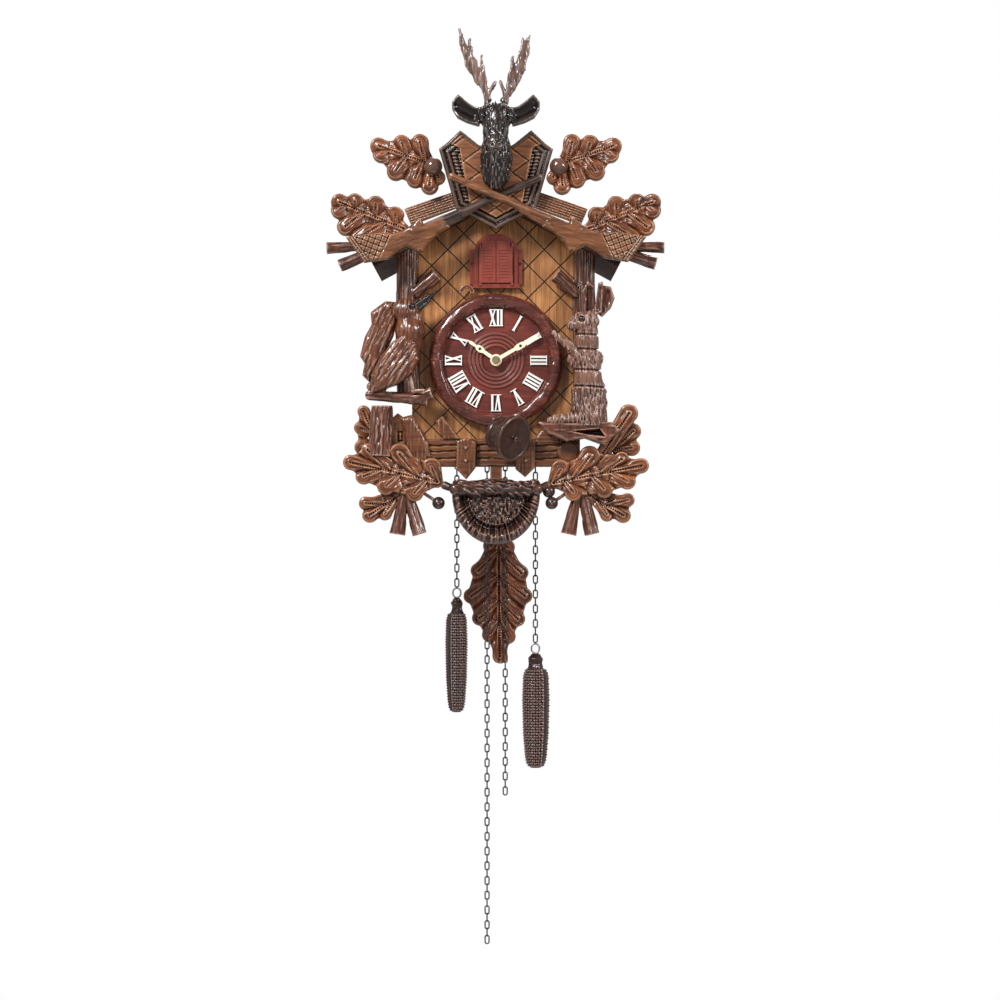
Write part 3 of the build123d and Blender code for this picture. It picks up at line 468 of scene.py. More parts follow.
CASE = wood("case_wood", (142, 84, 42), (216, 154, 94), carved=False, deep=FRONT, gloss=0.45, coat=0.15)
PANEL = wood("panel_wood", (112, 60, 32), (182, 114, 68), "x", wear_and_highlight_colour=(224, 170, 122), gloss=0.4)
SIDE = wood("side_wood", (92, 50, 24), (146, 88, 44), carved=False)
BACK = wood("back_wood", (150, 108, 64), (196, 152, 100), carved=False, gloss=0.6, coat=0.0)
ROOFING = wood("roof_wood", (40, 20, 12), (84, 46, 26), "y", carved=False, gloss=0.75, coat=0.0)
DARK = wood("dark_wood", (26, 13, 9), (70, 38, 26), wear_and_highlight_colour=(190, 160, 140), gloss=0.2)
TURNED = wood("turned_wood", (38, 20, 15), (78, 46, 34), "x", wear_and_highlight_colour=(150, 108, 86), gloss=0.3)
GABLING = wood("gable_wood", (84, 42, 24), (146, 88, 54), "x", wear_and_highlight_colour=(222, 178, 140))
LEAF = wood("leaf_wood", (72, 32, 17), (160, 92, 52), "x", wear_and_highlight_colour=(230, 180, 140), gloss=0.28)
BARK = wood("bark_wood", (58, 28, 19), (124, 70, 48), wear_and_highlight_colour=(226, 182, 162), gloss=0.26)
RING = wood("ring_wood", (62, 24, 18), (128, 64, 50), "x", wear_and_highlight_colour=(232, 178, 162), gloss=0.2)
STAG = wood("stag_wood", (13, 9, 8), (42, 28, 24), wear_and_highlight_colour=(170, 150, 136), gloss=0.2)
ANTLER = wood("antler_plastic", (64, 40, 34), (138, 108, 96), wear_and_highlight_colour=(216, 196, 186))
BIRD = wood("bird_wood", (70, 34, 22), (150, 88, 56), wear_and_highlight_colour=(242, 206, 182), gloss=0.26)
HARE = wood("hare_wood", (84, 50, 40), (160, 116, 96), wear_and_highlight_colour=(236, 206, 192))
BAG = wood("bag_wood", (24, 12, 9), (82, 44, 32), wear_and_highlight_colour=(200, 150, 128), gloss=0.26)
GUN = wood("rifle_wood", (84, 46, 26), (158, 100, 62), "x", wear_and_highlight_colour=(226, 186, 152), gloss=0.28)
BARREL = wood("barrel_wood", (36, 24, 20), (96, 70, 60), "x", wear_and_highlight_colour=(190, 170, 160), gloss=0.2)
FENCE = wood("fence_wood", (84, 42, 22), (152, 92, 54), "x", wear_and_highlight_colour=(216, 168, 130))
DIAL_WOOD = wood("dial_wood", (82, 24, 16), (136, 54, 38), "x", wear_and_highlight_colour=(190, 110, 90), gloss=0.5, coat=0.1)
BOB = wood("pendulum_wood", (80, 38, 20), (156, 86, 50), wear_and_highlight_colour=(222, 168, 130), gloss=0.24)
IRON = wood("cone_iron", (16, 9, 8), (78, 46, 38), wear_and_highlight_colour=(226, 180, 164), gloss=0.24)
NUMERAL = painted("numeral_plastic", (244, 242, 236), speck=0.06)
HAND = painted("hand_plastic", (246, 240, 208), speck=0.12)
DOOR = painted("door_plastic", (140, 54, 38), speck=0.35)
SHUTTER = painted("shutter_plastic", (148, 62, 46), speck=0.3)
CUCKOO = painted("cuckoo_paint", (96, 104, 120), speck=0.35)
LACQUER = painted("boss_lacquer", (104, 66, 50), gloss=0.12, speck=0.5, coat=1.0)
GLOSS = painted("bead_gloss", (20, 13, 12), gloss=0.12, speck=0.5, coat=1.0)
BRASS = metal("brass", (206, 164, 84), 0.3)
STEEL = metal("steel", (176, 178, 180), 0.32)
LINK = metal("chain_steel", (92, 88, 86), 0.25, "z", 0.6)
BELLOWS = painted("bellows_cloth", (120, 96, 70), gloss=0.8, coat=0.0)

NODE_MATERIALS = {
    CASE: ("front_board",),
    SIDE: ("case_sides", "bottom_board"),
    BACK: ("back_board", "back_door", "bellows_boxes"),
    ROOFING: ("roof_boards",),
    NUMERAL: ("numerals",),
    HAND: ("minute_hand", "hour_hand"),
    DOOR: ("door_frame",),
    SHUTTER: ("shutter_left", "shutter_right"),
    CUCKOO: ("cuckoo_bird",),
    BELLOWS: ("bellows_lid_left", "bellows_lid_right"),
    BRASS: (
        "hand_nut", "minute_wheel", "hour_wheel", "movement_plates", "time_great_wheel", "centre_wheel",
        "strike_great_wheel", "pin_wheel", "escape_wheel",
    ),
    STEEL: (
        "hanger_plate", "minute_arbor", "movement_pillars", "anchor_and_crutch", "gong", "gong_hammer",
        "pendulum_rod",
    ),
}
for material, names in NODE_MATERIALS.items():
    for node_name in names:
        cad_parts[node_name].data.materials.clear()
        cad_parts[node_name].data.materials.append(material)


# ---------------------------------------------------------------- leaves
BEAD_PITCH = 2.4  # along a leaf's ribs


def leaf(p, base, tip, lobes, girth):
    """Edge distance and relief, 0 to 1, of an oak leaf: a blade with scalloped edges and a rib into each lobe.

    Lobes are (share of the midrib where the rib starts, tip x, tip z), with a girth of their own or not."""
    spot = (p[0], p[2])
    ribs = []
    for start, x, z, *own in [(0.0, *tip), *lobes]:
        size = own[0] if own else girth
        root = [u + (v - u) * start for u, v in zip(base, tip)]
        length = math.dist(root, (x, z))
        centre = [e - (e - s) * size / length for s, e in zip(root, (x, z))]
        ribs.append((root, centre, size, length))
    corners = [base, *[centre for _, centre, _, _ in ribs]]
    mx, mz = [sum(c[k] for c in corners) / len(corners) for k in (0, 1)]
    corners.sort(key=lambda c: math.atan2(c[1] - mz, c[0] - mx))
    edge = outline(p[0], p[2], corners) - 0.5 * girth if lobes else np.inf
    nearest, second, travel = np.inf, np.inf, 0.0
    for root, centre, size, length in ribs:
        gap, share = along(spot, root, centre)
        edge = join(edge, gap - size * (0.6 + 0.4 * share), 1.2) if lobes else gap - size * (0.6 + 0.4 * share)
        second = np.minimum(second, np.maximum(nearest, gap))
        travel = np.where(gap < nearest, share * length, travel)
        nearest = np.minimum(nearest, gap)
    swell = 0.3 + 0.7 * np.clip((second - nearest) / 5, 0, 1) ** 0.6
    beaded = 0.5 + 0.5 * np.sin(2 * math.pi * travel / BEAD_PITCH)
    height = swell - groove(nearest, 0.6, 0.4) * beaded + groove(nearest - 1.6, 0.7, 0.15)
    strokes = noise(nearest / 0.9 + 30, travel / 7 + 30, 3) - 0.5
    return edge, height + 0.2 * strokes


def leaf_solid(p, back, thick, base, tip, lobes, girth, lift=0.0):
    """A carved leaf whose tip stands lift further out than its base."""
    edge, height = leaf(p, base, tip, lobes, girth)
    _, share = along((p[0], p[2]), base, tip)
    top = rounded(edge, thick * (0.4 + 0.6 * np.clip(height, 0, 1.2)), 2.0)
    return slab(p, back, top + lift * share, edge)


TOP_LOBES = [
    (0.42, -82, 65), (0.12, -66, 66), (0.72, -103, 45), (0.42, -89, 28), (0.16, -71, 21), (0.0, -57, 15),
    (0.0, -46, 24, 6),
]
MIDDLE_LOBES = [
    (0.68, -119, 16), (0.4, -101, 14), (0.12, -85, 5), (0.8, -138, -3), (0.55, -133, -17), (0.25, -122, -26),
]


UPPER_LEAVES = (  # level, thickness, stalk, tip, lobes, and the box's corners near and far from the middle
    ("top", 7.5, (-54, 40), (-106, 58), TOP_LOBES, (42, -152, 8), (112, GABLE + 1, 72)),
    ("middle", 7.0, (-78, -14), (-139, 11), MIDDLE_LOBES, (68, -150, -36), (145, GABLE + 1, 22)),
)
UPPER_GIRTH, UPPER_LIFT, LOWER_LIFT = 7.6, 1.5, 2
SIDES = ((-1, "left"), (1, "right"))


def upper_leaves():
    for side, name in SIDES:
        for level, *shape, near, far in UPPER_LEAVES:
            def field(p, s=side, shape=shape):
                return leaf_solid([-s * p[0], p[1], p[2]], GABLE, *shape, UPPER_GIRTH, UPPER_LIFT)

            low, high = sorted((side * near[0], side * far[0]))
            nodes = (f"leaves_{level}",) if side < 0 else ()
            corners = (low, *near[1:]), (high, *far[1:])
            carve(f"{level}_leaf_{name}", field, *corners, LEAF, "leaf_wood", *nodes, cell=0.5)


LOWER_LEFT = (
    (
        (-96, -208), (-115, -163), [(0.5, -121, -180, 5.5), (0.2, -121, -198, 6.5), (0.5, -103, -172, 5)],
        5.4, 3, 7,
    ),
    ((-75, -234), (-113, -260), [(0.5, -117, -246, 6), (0.3, -98, -260, 6)], 6.6, 4, 8),
    (
        (-50, -228), (-130, -210),
        [
            (0.6, -119, -226, 7), (0.4, -99, -237, 7.5), (0.12, -74, -243, 7.5), (0.0, -58, -208, 8.5),
            (0.2, -88, -197, 9.5), (0.5, -113, -197, 5.5),
        ],
        6.6, 9, 8,
    ),
)
LOWER_RIGHT = (
    ((90, -210), (122, -180), [(0.3, 123, -198, 7)], 7.0, 3, 7),
    ((75, -236), (114, -260), [(0.5, 118, -242, 6), (0.3, 98, -261, 6)], 6.6, 4, 8),
    ((84, -214), (117.5, -163), [], 8.0, 5, 9),
    (
        (49, -229), (130, -213),
        [
            (0.6, 118, -231, 7), (0.4, 97, -240, 7.5), (0.12, 70, -243, 7.5), (0.0, 59, -210, 8.5),
            (0.2, 85, -199, 9), (0.5, 112, -205, 6.5),
        ],
        6.6, 9, 8,
    ),
)


def lower_leaves():
    for (side, name), cluster in zip(SIDES, (LOWER_LEFT, LOWER_RIGHT)):
        def field(p, leaves=cluster):
            return joined([leaf_solid(p, FRONT - rise, thick, *leaf, LOWER_LIFT) for *leaf, rise, thick in leaves])

        low, high = sorted((side * 40, side * 136))
        nodes = ("leaves_lower",) if side < 0 else ()
        carve(f"lower_leaves_{name}", field, (low, -140, -268), (high, FRONT, -158), LEAF, "leaf_wood", *nodes)


BOSS_X, BOSS_Z = 53, 38


def bosses():
    """The two turned balls between the crown and its leaves, each on a collar with a dimple in front."""
    def field(p):
        q = [np.abs(p[0]), p[1], p[2]]
        round_part = ball(q, (BOSS_X, GABLE - 9, BOSS_Z), 7.8)
        spread = np.hypot(q[0] - BOSS_X, q[2] - BOSS_Z)
        collar = np.maximum(spread - 6.4, np.abs(p[1] - GABLE + 2) - 2)
        shaped = join(round_part, collar, 0.6)
        return shaped + groove(spread, 1.0, 0.4) * (p[1] < GABLE - 12)

    carve("crown_bosses", field, (-62, GABLE - 18, 29), (62, GABLE, 47), LACQUER, "leaf_wood", cell=0.5)


UPPER_TWIGS = {  # root and end as X and Z, with the radius at each
    "left": [((-104, -28), (-144, -30), 4.0, 5.4), ((-104, -33), (-133, -45), 4.2, 6.0)],
    "right": [((104, -28), (143, -29), 4.0, 5.4), ((104, -33), (136, -43), 4.2, 6.0)],
}
LOWER_TWIGS = {
    "left": [((-78, -236), (-84, -273), 4.2, 7.4), ((-76, -236), (-65, -273), 4.2, 7.2)],
    "right": [((70, -236), (62, -273), 4.2, 7.2), ((74, -236), (82, -273), 4.2, 7.4)],
}
BERRIES = {"left": ((-49, -246),), "right": ((45, -236), (47.5, -246))}


def fork(p, y, branches, depth, grain):
    """The logs of one pair of twigs, all at the same depth."""
    return [
        log(p, (a[0], y, a[1]), (b[0], y, b[1]), *radii, depth, grain, seed)
        for seed, (a, b, *radii) in enumerate(branches)
    ]


def twigs():
    for name, x in (("left", -145), ("right", 97)):
        def field(p, name=name):
            return joined(fork(p, GABLE + 1, UPPER_TWIGS[name], 1.5, (2.6, 14.0)), 0.8)

        nodes = ("twigs_upper",) if name == "left" else ()
        carve(f"upper_twigs_{name}", field, (x, -146, -54), (x + 48, -130, -20), BARK, "bark_wood", *nodes)
    low_y = FRONT - 9
    for name, x in (("left", -94), ("right", 40)):
        def field(p, name=name):
            parts = fork(p, low_y, LOWER_TWIGS[name], 1.8, (2.8, 16.0))
            for bx, bz in BERRIES[name]:
                reach = 12 if bx < 0 else -12
                parts.append(rod(p, (bx, low_y - 1, bz), (bx - reach, low_y + 2, bz + 8), 1.5))
            return joined(parts)

        def round_fruit(p, name=name):
            fruit = [ball(p, (bx, low_y - 3, bz), 5.4) for bx, bz in BERRIES[name]]
            tips = [ball(p, (bx, low_y - 8.6, bz - 0.6), 1.2) for bx, bz in BERRIES[name]]
            return join(joined(fruit), joined(tips), 0.8)

        nodes = ("twigs_lower",) if name == "left" else ()
        carve(f"lower_twigs_{name}", field, (x, -136, -282), (x + 56, FRONT, -228), BARK, "bark_wood", *nodes)
        middle = -49 if name == "left" else 46
        low, high = (middle - 8, -140, -253), (middle + 8, -116, -229)
        carve(f"berries_{name}", round_fruit, low, high, TURNED, "bark_wood", cell=0.4)


# ---------------------------------------------------------------- crown, gable and stag
def lattice(x, z, pitch=27.4, slope=0.72, at=33.0):
    """Depth of the slanted crossing grooves."""
    a = np.abs((z - at) / slope / pitch + x / pitch + 0.5)
    b = np.abs((z - at) / slope / pitch - x / pitch + 0.5)
    scale = pitch * slope / math.hypot(1, slope)
    near = [scale * np.abs(v - np.round(v)) for v in (a, b)]
    return groove(near[0], 0.6, 1.1) + groove(near[1], 0.6, 1.1)


CROWN_HALF = [(0, 54), (14.5, 57), (30, 69.5), (41.5, 58.5), (48.4, 53.5), (34, 3), (0, -15)]
PANEL_HALF = [(0, 50.5), (14, 53.5), (29.5, 65), (38, 57), (31, 54), (22.5, 8), (0, -5)]


def crown():
    def moulding(p):
        edge = outline(np.abs(p[0]), p[2], mirror_pair(CROWN_HALF))
        step = np.clip(-edge, 0, 18)
        ribs = 1.8 * np.abs(np.sin(math.pi * step / 4.5)) ** 0.6
        beads = 0.7 * np.sin(2 * math.pi * p[2] / 3.0) * (step > 9)
        return plate(p, GABLE, edge, 7.0 + ribs - 0.1 * step + beads, 1.2)

    def panel(p):
        edge = outline(np.abs(p[0]), p[2], mirror_pair(PANEL_HALF))
        waves = 0.3 * (noise(p[0] / 7 + 30, p[2] / 1.5 + 60, 17) - 0.5)
        return plate(p, CROWN + 4, edge, 4 + waves - lattice(p[0], p[2]), 0.8)

    carve("crown_moulding", moulding, (-52, -150, -20), (52, GABLE + 1, 76), DARK, "dark_wood", "crown_frame")
    carve("crown_lattice", panel, (-44, CROWN - 1, -16), (44, CROWN + 5, 70), PANEL, "case_wood", "crown_panel")


def gable():
    half = [(0, 31), (78, 3.7), (72, -10.3), (0, 17)]

    def field(p):
        x, z = np.abs(p[0]), p[2]
        edge = outline(x, z, mirror_pair(half))
        s = 31 - 0.35 * x - z
        beads = 0.6 + 0.4 * np.sin(2 * math.pi * x / 3.1 + 2 * np.round(s / 2.3))
        ribs = 0.75 * np.cos(2 * math.pi * s / 2.3) * beads
        return plate(p, ROOF, edge, 5.0 + ribs, 0.8)

    low, high = (-80, GABLE - 1, -14), (80, ROOF + 1, 34)
    carve("gable_moulding", field, low, high, GABLING, "gable_wood", "gable_boards")


EAR = [(11, 84.5), (18, 85), (24, 89), (31.5, 95.5), (36, 90), (36, 84), (31.7, 77), (24, 73), (14.5, 70)]
ANTLERS = (
    (
        [
            (-5.6, 87, 2.6), (-9, 101, 2.8), (-14.3, 108, 3.4), (-20.5, 122, 5.0), (-26.5, 135, 3.4),
            (-30.6, 151.3, 0.9),
        ],
        [
            ((-21, 126), (-22.2, 143), 2.8, 0.9), ((-10.5, 104), (-12.4, 129), 3.4, 1.0),
            ((-7, 95), (-0.5, 107), 2.2, 1.4),
        ],
    ),
    (
        [(6.9, 87, 2.6), (9.5, 96, 2.6), (13, 102, 3.2), (19.5, 117, 4.8), (23.5, 131, 4.2), (28.4, 146, 0.9)],
        [
            ((22, 128), (22.4, 144), 3.0, 1.0), ((12, 104), (14.3, 128), 3.2, 1.0),
            ((8, 95), (4.0, 107), 2.2, 1.4),
        ],
    ),
)


def stag():
    y = CROWN - 9

    def head(p):
        x, z = np.abs(p[0]), p[2]
        q = [x, p[1], z]
        fur = 1.3 * sharpen(noise(p[0] / 1.3 + 40, z / 3.6, 14))
        strokes = 0.6 * sharpen(noise(x / 0.9 + 40, z / 2.6, 15))
        neck = join(ball(p, (0, y, 40.5), (14.2, 13, 25.5)), rod(p, (0, y - 2, 45), (0, y - 7, 72), 12, 11), 5)
        skull = ball(q, (0, y - 8, 77.5), (14.2, 14, 13))
        face = join(skull, rod(p, (0, y - 12, 75), (0, y - 25, 53), 11.6, 7.0), 4)
        face = join(face, rod(q, (6.5, y - 19, 84.5), (12.5, y - 12, 81), 2.8), 2)
        face = cut(face, rod(q, (8.0, y - 22, 69), (5.2, y - 29, 58), 0.9), 0.8)
        face = cut(face, ball(q, (11.2, y - 17.5, 76.5), (3.2, 3.4, 3.0)), 0.8)
        nose = ball(q, (0, y - 28, 49.5), (6.4, 4.6, 4.6))
        nose = cut(nose, ball(q, (3.0, y - 32, 50.6), (1.4, 2.0, 1.2)), 0.4)
        nose = cut(nose, rod(q, (0, y - 32, 46.6), (5.5, y - 27, 47.4), 0.7), 0.4)
        ear_edge = outline(x, z, EAR) - 0.8
        _, share = along((x, z), (11, 79), (34, 88))
        scoop, _ = along((x, z), (18, 79), (31, 86))
        ear = plate(p, y - 4 + 3 * share, ear_edge, 7 - groove(scoop, 4.6, 4.8), 2)
        stump = rod(q, (6.2, y - 6, 84), (6.6, y - 6, 91), 4.0, 3.2)
        body = joined([neck + fur, face + strokes, ear, stump], 1.5)
        return np.maximum(join(body, nose, 0.4), p[1] - CROWN)

    carve("stag", head, (-39, -190, 13), (39, CROWN, 99), STAG, "stag_wood", "stag_head", cell=0.55)

    def eyes(p):
        return bead([np.abs(p[0]), p[1], p[2]], (11.0, y - 18.2, 76.5), 2.3)

    carve("stag_eyes", eyes, (-15, y - 22, 72), (15, y - 14, 81), GLOSS, "stag_wood", cell=0.3)

    def antlers(p):
        rough = 1.0 * (sharpen(noise(p[0] / 1.6 + 40, p[2] / 4.5, 16)) - 0.55)
        pits = 1.3 * (1 - sharpen(noise(p[0] / 2.4 + 90, p[2] / 7.0, 18)))
        edges = []
        for beam, tines in ANTLERS:
            spots = [((a[0], a[1]), (b[0], b[1]), a[2], b[2]) for a, b in zip(beam, beam[1:])]
            edges += [rod((p[0], p[2]), *spot) for spot in [*spots, *tines]]
        lean = y - 6 + 0.06 * (p[2] - 95)
        return blade(joined(edges, 1.0) + rough, p[1] - lean, 2.9 - pits, 1.4)

    low, high = (-34, -170, 84), (34, -150, 153)
    carve("stag_antlers", antlers, low, high, ANTLER, "antler_plastic", "antlers", cell=0.45)


# ---------------------------------------------------------------- rifles
STOCK = [
    (4, 10), (27, 5), (41, -1), (50, -2), (60, 0), (66, 3), (68.5, 2.5), (68, -3), (88, -2), (88, -13),
    (77.5, -14.5), (66, -19), (60, -24), (56, -23), (49, -15.5), (42, -16), (30, -19), (10.5, -15),
]


BUTT, RIFLE_TILT = (-126, -33), 21  # where the butt's plate starts on the left rifle, degrees above level


def rifles():
    for side, back, name in ((1, CROWN, "rifle_left"), (-1, CROWN - 7.5, "rifle_right")):
        def wood_part(p, s=side, back=back):
            u, v = turned(s * p[0], p[2], BUTT, RIFLE_TILT)
            edge = outline(u, v, STOCK) - 0.5
            hatch = [np.abs(np.sin(math.pi * (0.8 * u + k * v) / 5.2)) for k in (0.9, -0.7)]
            checks = groove(hatch[0], 0.3, 1.2) + groove(hatch[1], 0.3, 1.2)
            butt = u - 4 - 0.26 * (10 - v)
            front = u - 40 - 1.05 * v
            chequered = (front < 0) & (butt > 5) & (edge < -1.6)
            border = groove(front, 0.6, 1.0) + groove(butt - 4.6, 0.6, 1.1) + groove(butt - 2.4, 0.6, 1.1)
            grain = 0.5 * (noise(u / 9, v / 1.4 + 30, 5) - 0.5)
            top = rounded(edge, 7.2 - checks * chequered - border * (u < 45) + grain, 3.4)
            stock = slab(p, back, top, edge)
            lock = rod([u, p[1], v], (58, back - 4.5, -5), (78, back - 4.5, -8), 3.6, 3.0)
            return join(stock, lock, 0.8)

        def barrel(p, s=side, back=back):
            u, v = turned(s * p[0], p[2], BUTT, RIFLE_TILT)
            local = [u, p[1], v]
            grain = 0.5 * (noise(u / 12, v / 1.2 + 20, 8) - 0.5)
            bar = rod(local, (86, back - 3.8, -5.5), (174, back - 3.4, -1.4), 3.8, 3.1) + grain
            fore_end = rod(local, (84, back - 3.2, -9.5), (120, back - 3.0, -5.5), 4.2, 1.4) + grain
            return np.maximum(join(bar, fore_end, 0.4), p[1] - back)

        near, far = (-130, -36) if side > 0 else (36, 130)
        low, high = (near, back - 9, -48), (far, back, 4)
        carve(f"{name}_stock", wood_part, low, high, GUN, "rifle_wood", name, cell=0.5)
        near, far = (-52, 44) if side > 0 else (-44, 52)
        low, high = (near, back - 9, -20), (far, back, 36)
        carve(f"{name}_barrel", barrel, low, high, BARREL if side > 0 else GUN, "rifle_wood", cell=0.5)


# ---------------------------------------------------------------- trunks, animals and front figures
def trunks():
    for side, name in SIDES:
        def field(p, s=side):
            top, foot = (s * 75.5, FRONT - 2, -24), (s * 75.5, FRONT - 2, -160)
            trunk = log(p, top, foot, 10.4, 10.4, 2.2, (2.3, 26.0), 2)
            stub = log(p, (s * 68, FRONT - 6, -66), (s * 50.5, FRONT - 7, -51), 6.2, 6.8, 1.3, (3.2, 14.0), 4)
            roof = p[2] - (10.4 - 0.54 * np.abs(p[0]))
            under = np.where(p[1] > ROOF - 0.5, roof, -50)
            return np.maximum(np.maximum(join(trunk, stub, 1.5), p[1] - FRONT), under)

        nodes = ("trunks",) if side < 0 else ()
        low, high = sorted((side * 44, side * 88))
        carve(f"trunk_{name}", field, (low, -132, -162), (high, FRONT, -20), BARK, "bark_wood", *nodes)


NEAR_WING = [
    (-77, -103), (-68, -112), (-66, -124), (-71, -135), (-84, -145), (-105, -152), (-105, -138), (-97, -122),
    (-87, -110),
]
FAR_WING = [
    (-82, -76), (-94, -75), (-106, -84), (-105, -94), (-111, -105), (-115, -121), (-111, -127), (-113, -137),
    (-108, -142), (-98, -125), (-88, -103),
]


def woodpecker():
    y = FRONT - 19

    def plumes(u, v):
        """Long streaks along the wing, over rows of quills."""
        streaks = 0.7 * sharpen(noise(u / 6 + 50, v / 1.15 + 50, 6))
        streaks = streaks + 0.3 * noise(u / 2.5 + 20, v / 0.7 + 90, 7)
        quills = np.abs(np.sin(math.pi * v / 4.6)) ** 0.5
        return 0.9 * streaks + 0.6 * quills

    def field(p):
        x, z = p[0], p[2]
        head = ball(p, (-77, y - 2, -82), (11.5, 8.5, 9.5))
        head = join(head, rod(p, (-75, y - 1, -86), (-74, y, -97), 8.5, 11), 3)
        down = noise(x / 1.1 + 80, z / 4.2 + 80, 12) - 0.5
        throat = rod(p, (-68, y - 1, -88), (-66, y, -100), 5.5, 5)
        body = rod(p, (-73, y, -100), (-76, y + 1, -126), 12.5, 9)
        body = joined([body, throat, rod(p, (-78, y + 2, -124), (-98, y + 3, -148), 7, 5)], 3)
        toes = [rod(p, (-70, y - 5, -151), (-61, y - 6 - k, -152.5 + k), 1.5, 0.8) for k in (0, 2.2)]
        legs = joined([rod(p, (-75, y - 4, -132), (-70, y - 5, -150), 2.4, 1.4), *toes], 0.8)
        trunk = joined([head + 0.9 * down, body + 0.5 * down, legs], 2.5)
        wings = []
        for shape, lean, back, thick in ((FAR_WING, -115, y + 12, 12), (NEAR_WING, -124, y + 6, 17)):
            edge = outline(x, z, shape) - 0.8
            u, v = turned(x, z, shape[0], lean)
            wings.append(plate(p, back, edge, thick + plumes(u, v), 5))
        tail_edge = rod((x, z), (-92, -138), (-106, -147), 6, 4)
        tail = plate(p, y + 8, tail_edge, 10, 3)
        bird = joined([trunk, *wings, tail], 0.8)
        bird = cut(bird, ball(p, (-70.5, y - 10.5, -79.5), (3.4, 2.6, 3.4)), 0.5)
        return np.maximum(bird, p[1] - FRONT + 0.3)

    def beak(p):
        upper = rod(p, (-70, y - 2, -80.5), (-50, y - 2, -65.5), 3.6, 0.6)
        lower = rod(p, (-68, y - 2, -84), (-55, y - 2, -73.5), 2.4, 0.8)
        return joined([upper, lower], 0.3)

    low, high = (-119, -148, -156), (-48, FRONT, -64)
    carve("woodpecker_carving", field, low, high, BIRD, "bird_wood", "woodpecker", cell=0.55)
    carve("woodpecker_beak", beak, (-75, y - 7, -88), (-48, y + 4, -63), GLOSS, "bird_wood", cell=0.4)

    def eye(p):
        return bead(p, (-70.5, y - 9.4, -79.5), 2.1)

    carve("woodpecker_eye", eye, (-74, y - 13, -83), (-67, y - 6, -76), GLOSS, "bird_wood", cell=0.3)


HARE_EARS = (
    ([(86, -84), (90, -70), (91, -62), (97, -63), (100, -72), (97, -80), (90, -87)], 3, ((91, -82), (95, -67))),
    ([(75, -86), (74, -66), (78, -58), (83, -62), (84, -86)], 6, ((79, -82), (79, -64))),
    ([(84, -86), (87.5, -60), (90, -59), (89, -84)], 0, ((86, -82), (88.5, -64))),
)


def hare():
    y = FRONT - 18

    def field(p):
        x, z = p[0], p[2]
        head = join(ball(p, (76, y - 2, -92), (12.5, 9, 9.5)), ball(p, (66, y - 3, -95), (6.5, 6.5, 6)), 4)
        neck = rod(p, (77, y, -100), (77, y, -116), 10.5, 10.5)
        chest = ball(p, (76, y, -124), (16, 12.0, 12))
        waist = rod(p, (78, y, -132), (78, y, -148), 12.0, 12.5)
        wide = [79 + (x - 79) / 1.12, p[1], z]
        skirt = rod(wide, (79, y + 3, -151), (79, y + 3, -176), 14.0, 15.0)
        upper_arm = rod(p, (71, y - 7, -124), (62, y - 9, -113), 4.6, 4.0)
        arm = joined([upper_arm, rod(p, (62, y - 9, -113), (49, y - 8, -102), 4.2, 2.6)], 1.5)
        feet = [
            rod(p, (50, y - 7, -175), (84, y - 6, -172), 4.2, 6),
            rod(p, (44, y - 1, -176), (70, y, -174), 3.4, 5),
        ]
        body = joined([neck, chest, waist, skirt, *feet], 2.0)
        for level in (-103, -115.5, -133, -147):
            body = body + groove(z - level + 0.05 * (x - 77), 0.8, 1.9)
        tufts = noise(x / 1.25 + 90, z / 4.6 + 90, 21) * 0.6 + noise(x / 0.8 + 50, z / 2.4 + 70, 22) * 0.4
        plain = groove(z + 109, 5.0, 0.85) + groove(z + 140, 5.5, 0.85)
        animal = joined([body, head, arm], 1.2) + 1.4 * (1 - plain) * (1 - sharpen(tufts))
        animal = cut(animal, ball(p, (72.5, y - 11, -90), (3.4, 2.6, 3.2)), 0.4)
        return np.maximum(animal, p[1] - FRONT + 0.3)

    def ears(p):
        strokes = 0.5 * sharpen(noise(p[0] / 1.2 + 20, p[2] / 5 + 90, 23))
        parts = []
        for shape, back, hollow in HARE_EARS:
            edge = outline(p[0], p[2], shape) - 0.8
            gap, _ = along((p[0], p[2]), *hollow)
            parts.append(plate(p, y + back, edge, 6 - groove(gap, 2.2, 2.6) + strokes, 2))
        return joined(parts, 0.4)

    def eye(p):
        return bead(p, (72.5, y - 9.8, -90), 2.1)

    carve("hare_carving", field, (44, -146, -180), (101, FRONT, -80), HARE, "hare_wood", "hare", cell=0.55)
    carve("hare_ears", ears, (72, y - 8, -90), (102, y + 8, -56), BARK, "hare_wood", cell=0.5)
    carve("hare_eye", eye, (69, y - 14, -94), (76, y - 6, -86), GLOSS, "hare_wood", cell=0.3)


LEDGE = [(37, -178), (98, -178), (104, -184), (92, -196), (76, -190), (60, -193), (44, -186)]
LEDGE_HOLLOW = [(63, -185), (88, -183), (93, -190), (76, -188)]


def perches():
    y = FRONT - 16

    def field(p):
        branch = log(p, (-107, y, -154), (-58, y, -158), 4.8, 6.0, 1.2, (2.8, 18.0), 6)
        knot = log(p, (-72, y - 1, -158), (-54, y - 4, -152), 4.4, 5.2, 0.9, (2.8, 12.0), 7)
        stump = log(p, (-97, FRONT - 12, -162), (-99, FRONT - 12, -206), 9.5, 11, 1.6, (2.0, 9.0), 8)
        stump = np.maximum(stump, p[2] + 163)
        leafy = outline(p[0], p[2], LEDGE) - 1
        hollow = outline(p[0], p[2], LEDGE_HOLLOW)
        grain = 0.8 * (noise(p[0] / 9 + 30, p[2] / 1.6 + 300, 9) - 0.5)
        ledge = plate(p, FRONT, leafy, 27 + grain - 9 * np.clip(-hollow / 2, 0, 1), 3)
        return joined([join(branch, knot, 1), stump, ledge])

    low, high = (-114, -144, -212), (106, FRONT, -144)
    carve("perches_carving", field, low, high, BARK, "bark_wood", "perches", cell=0.65)


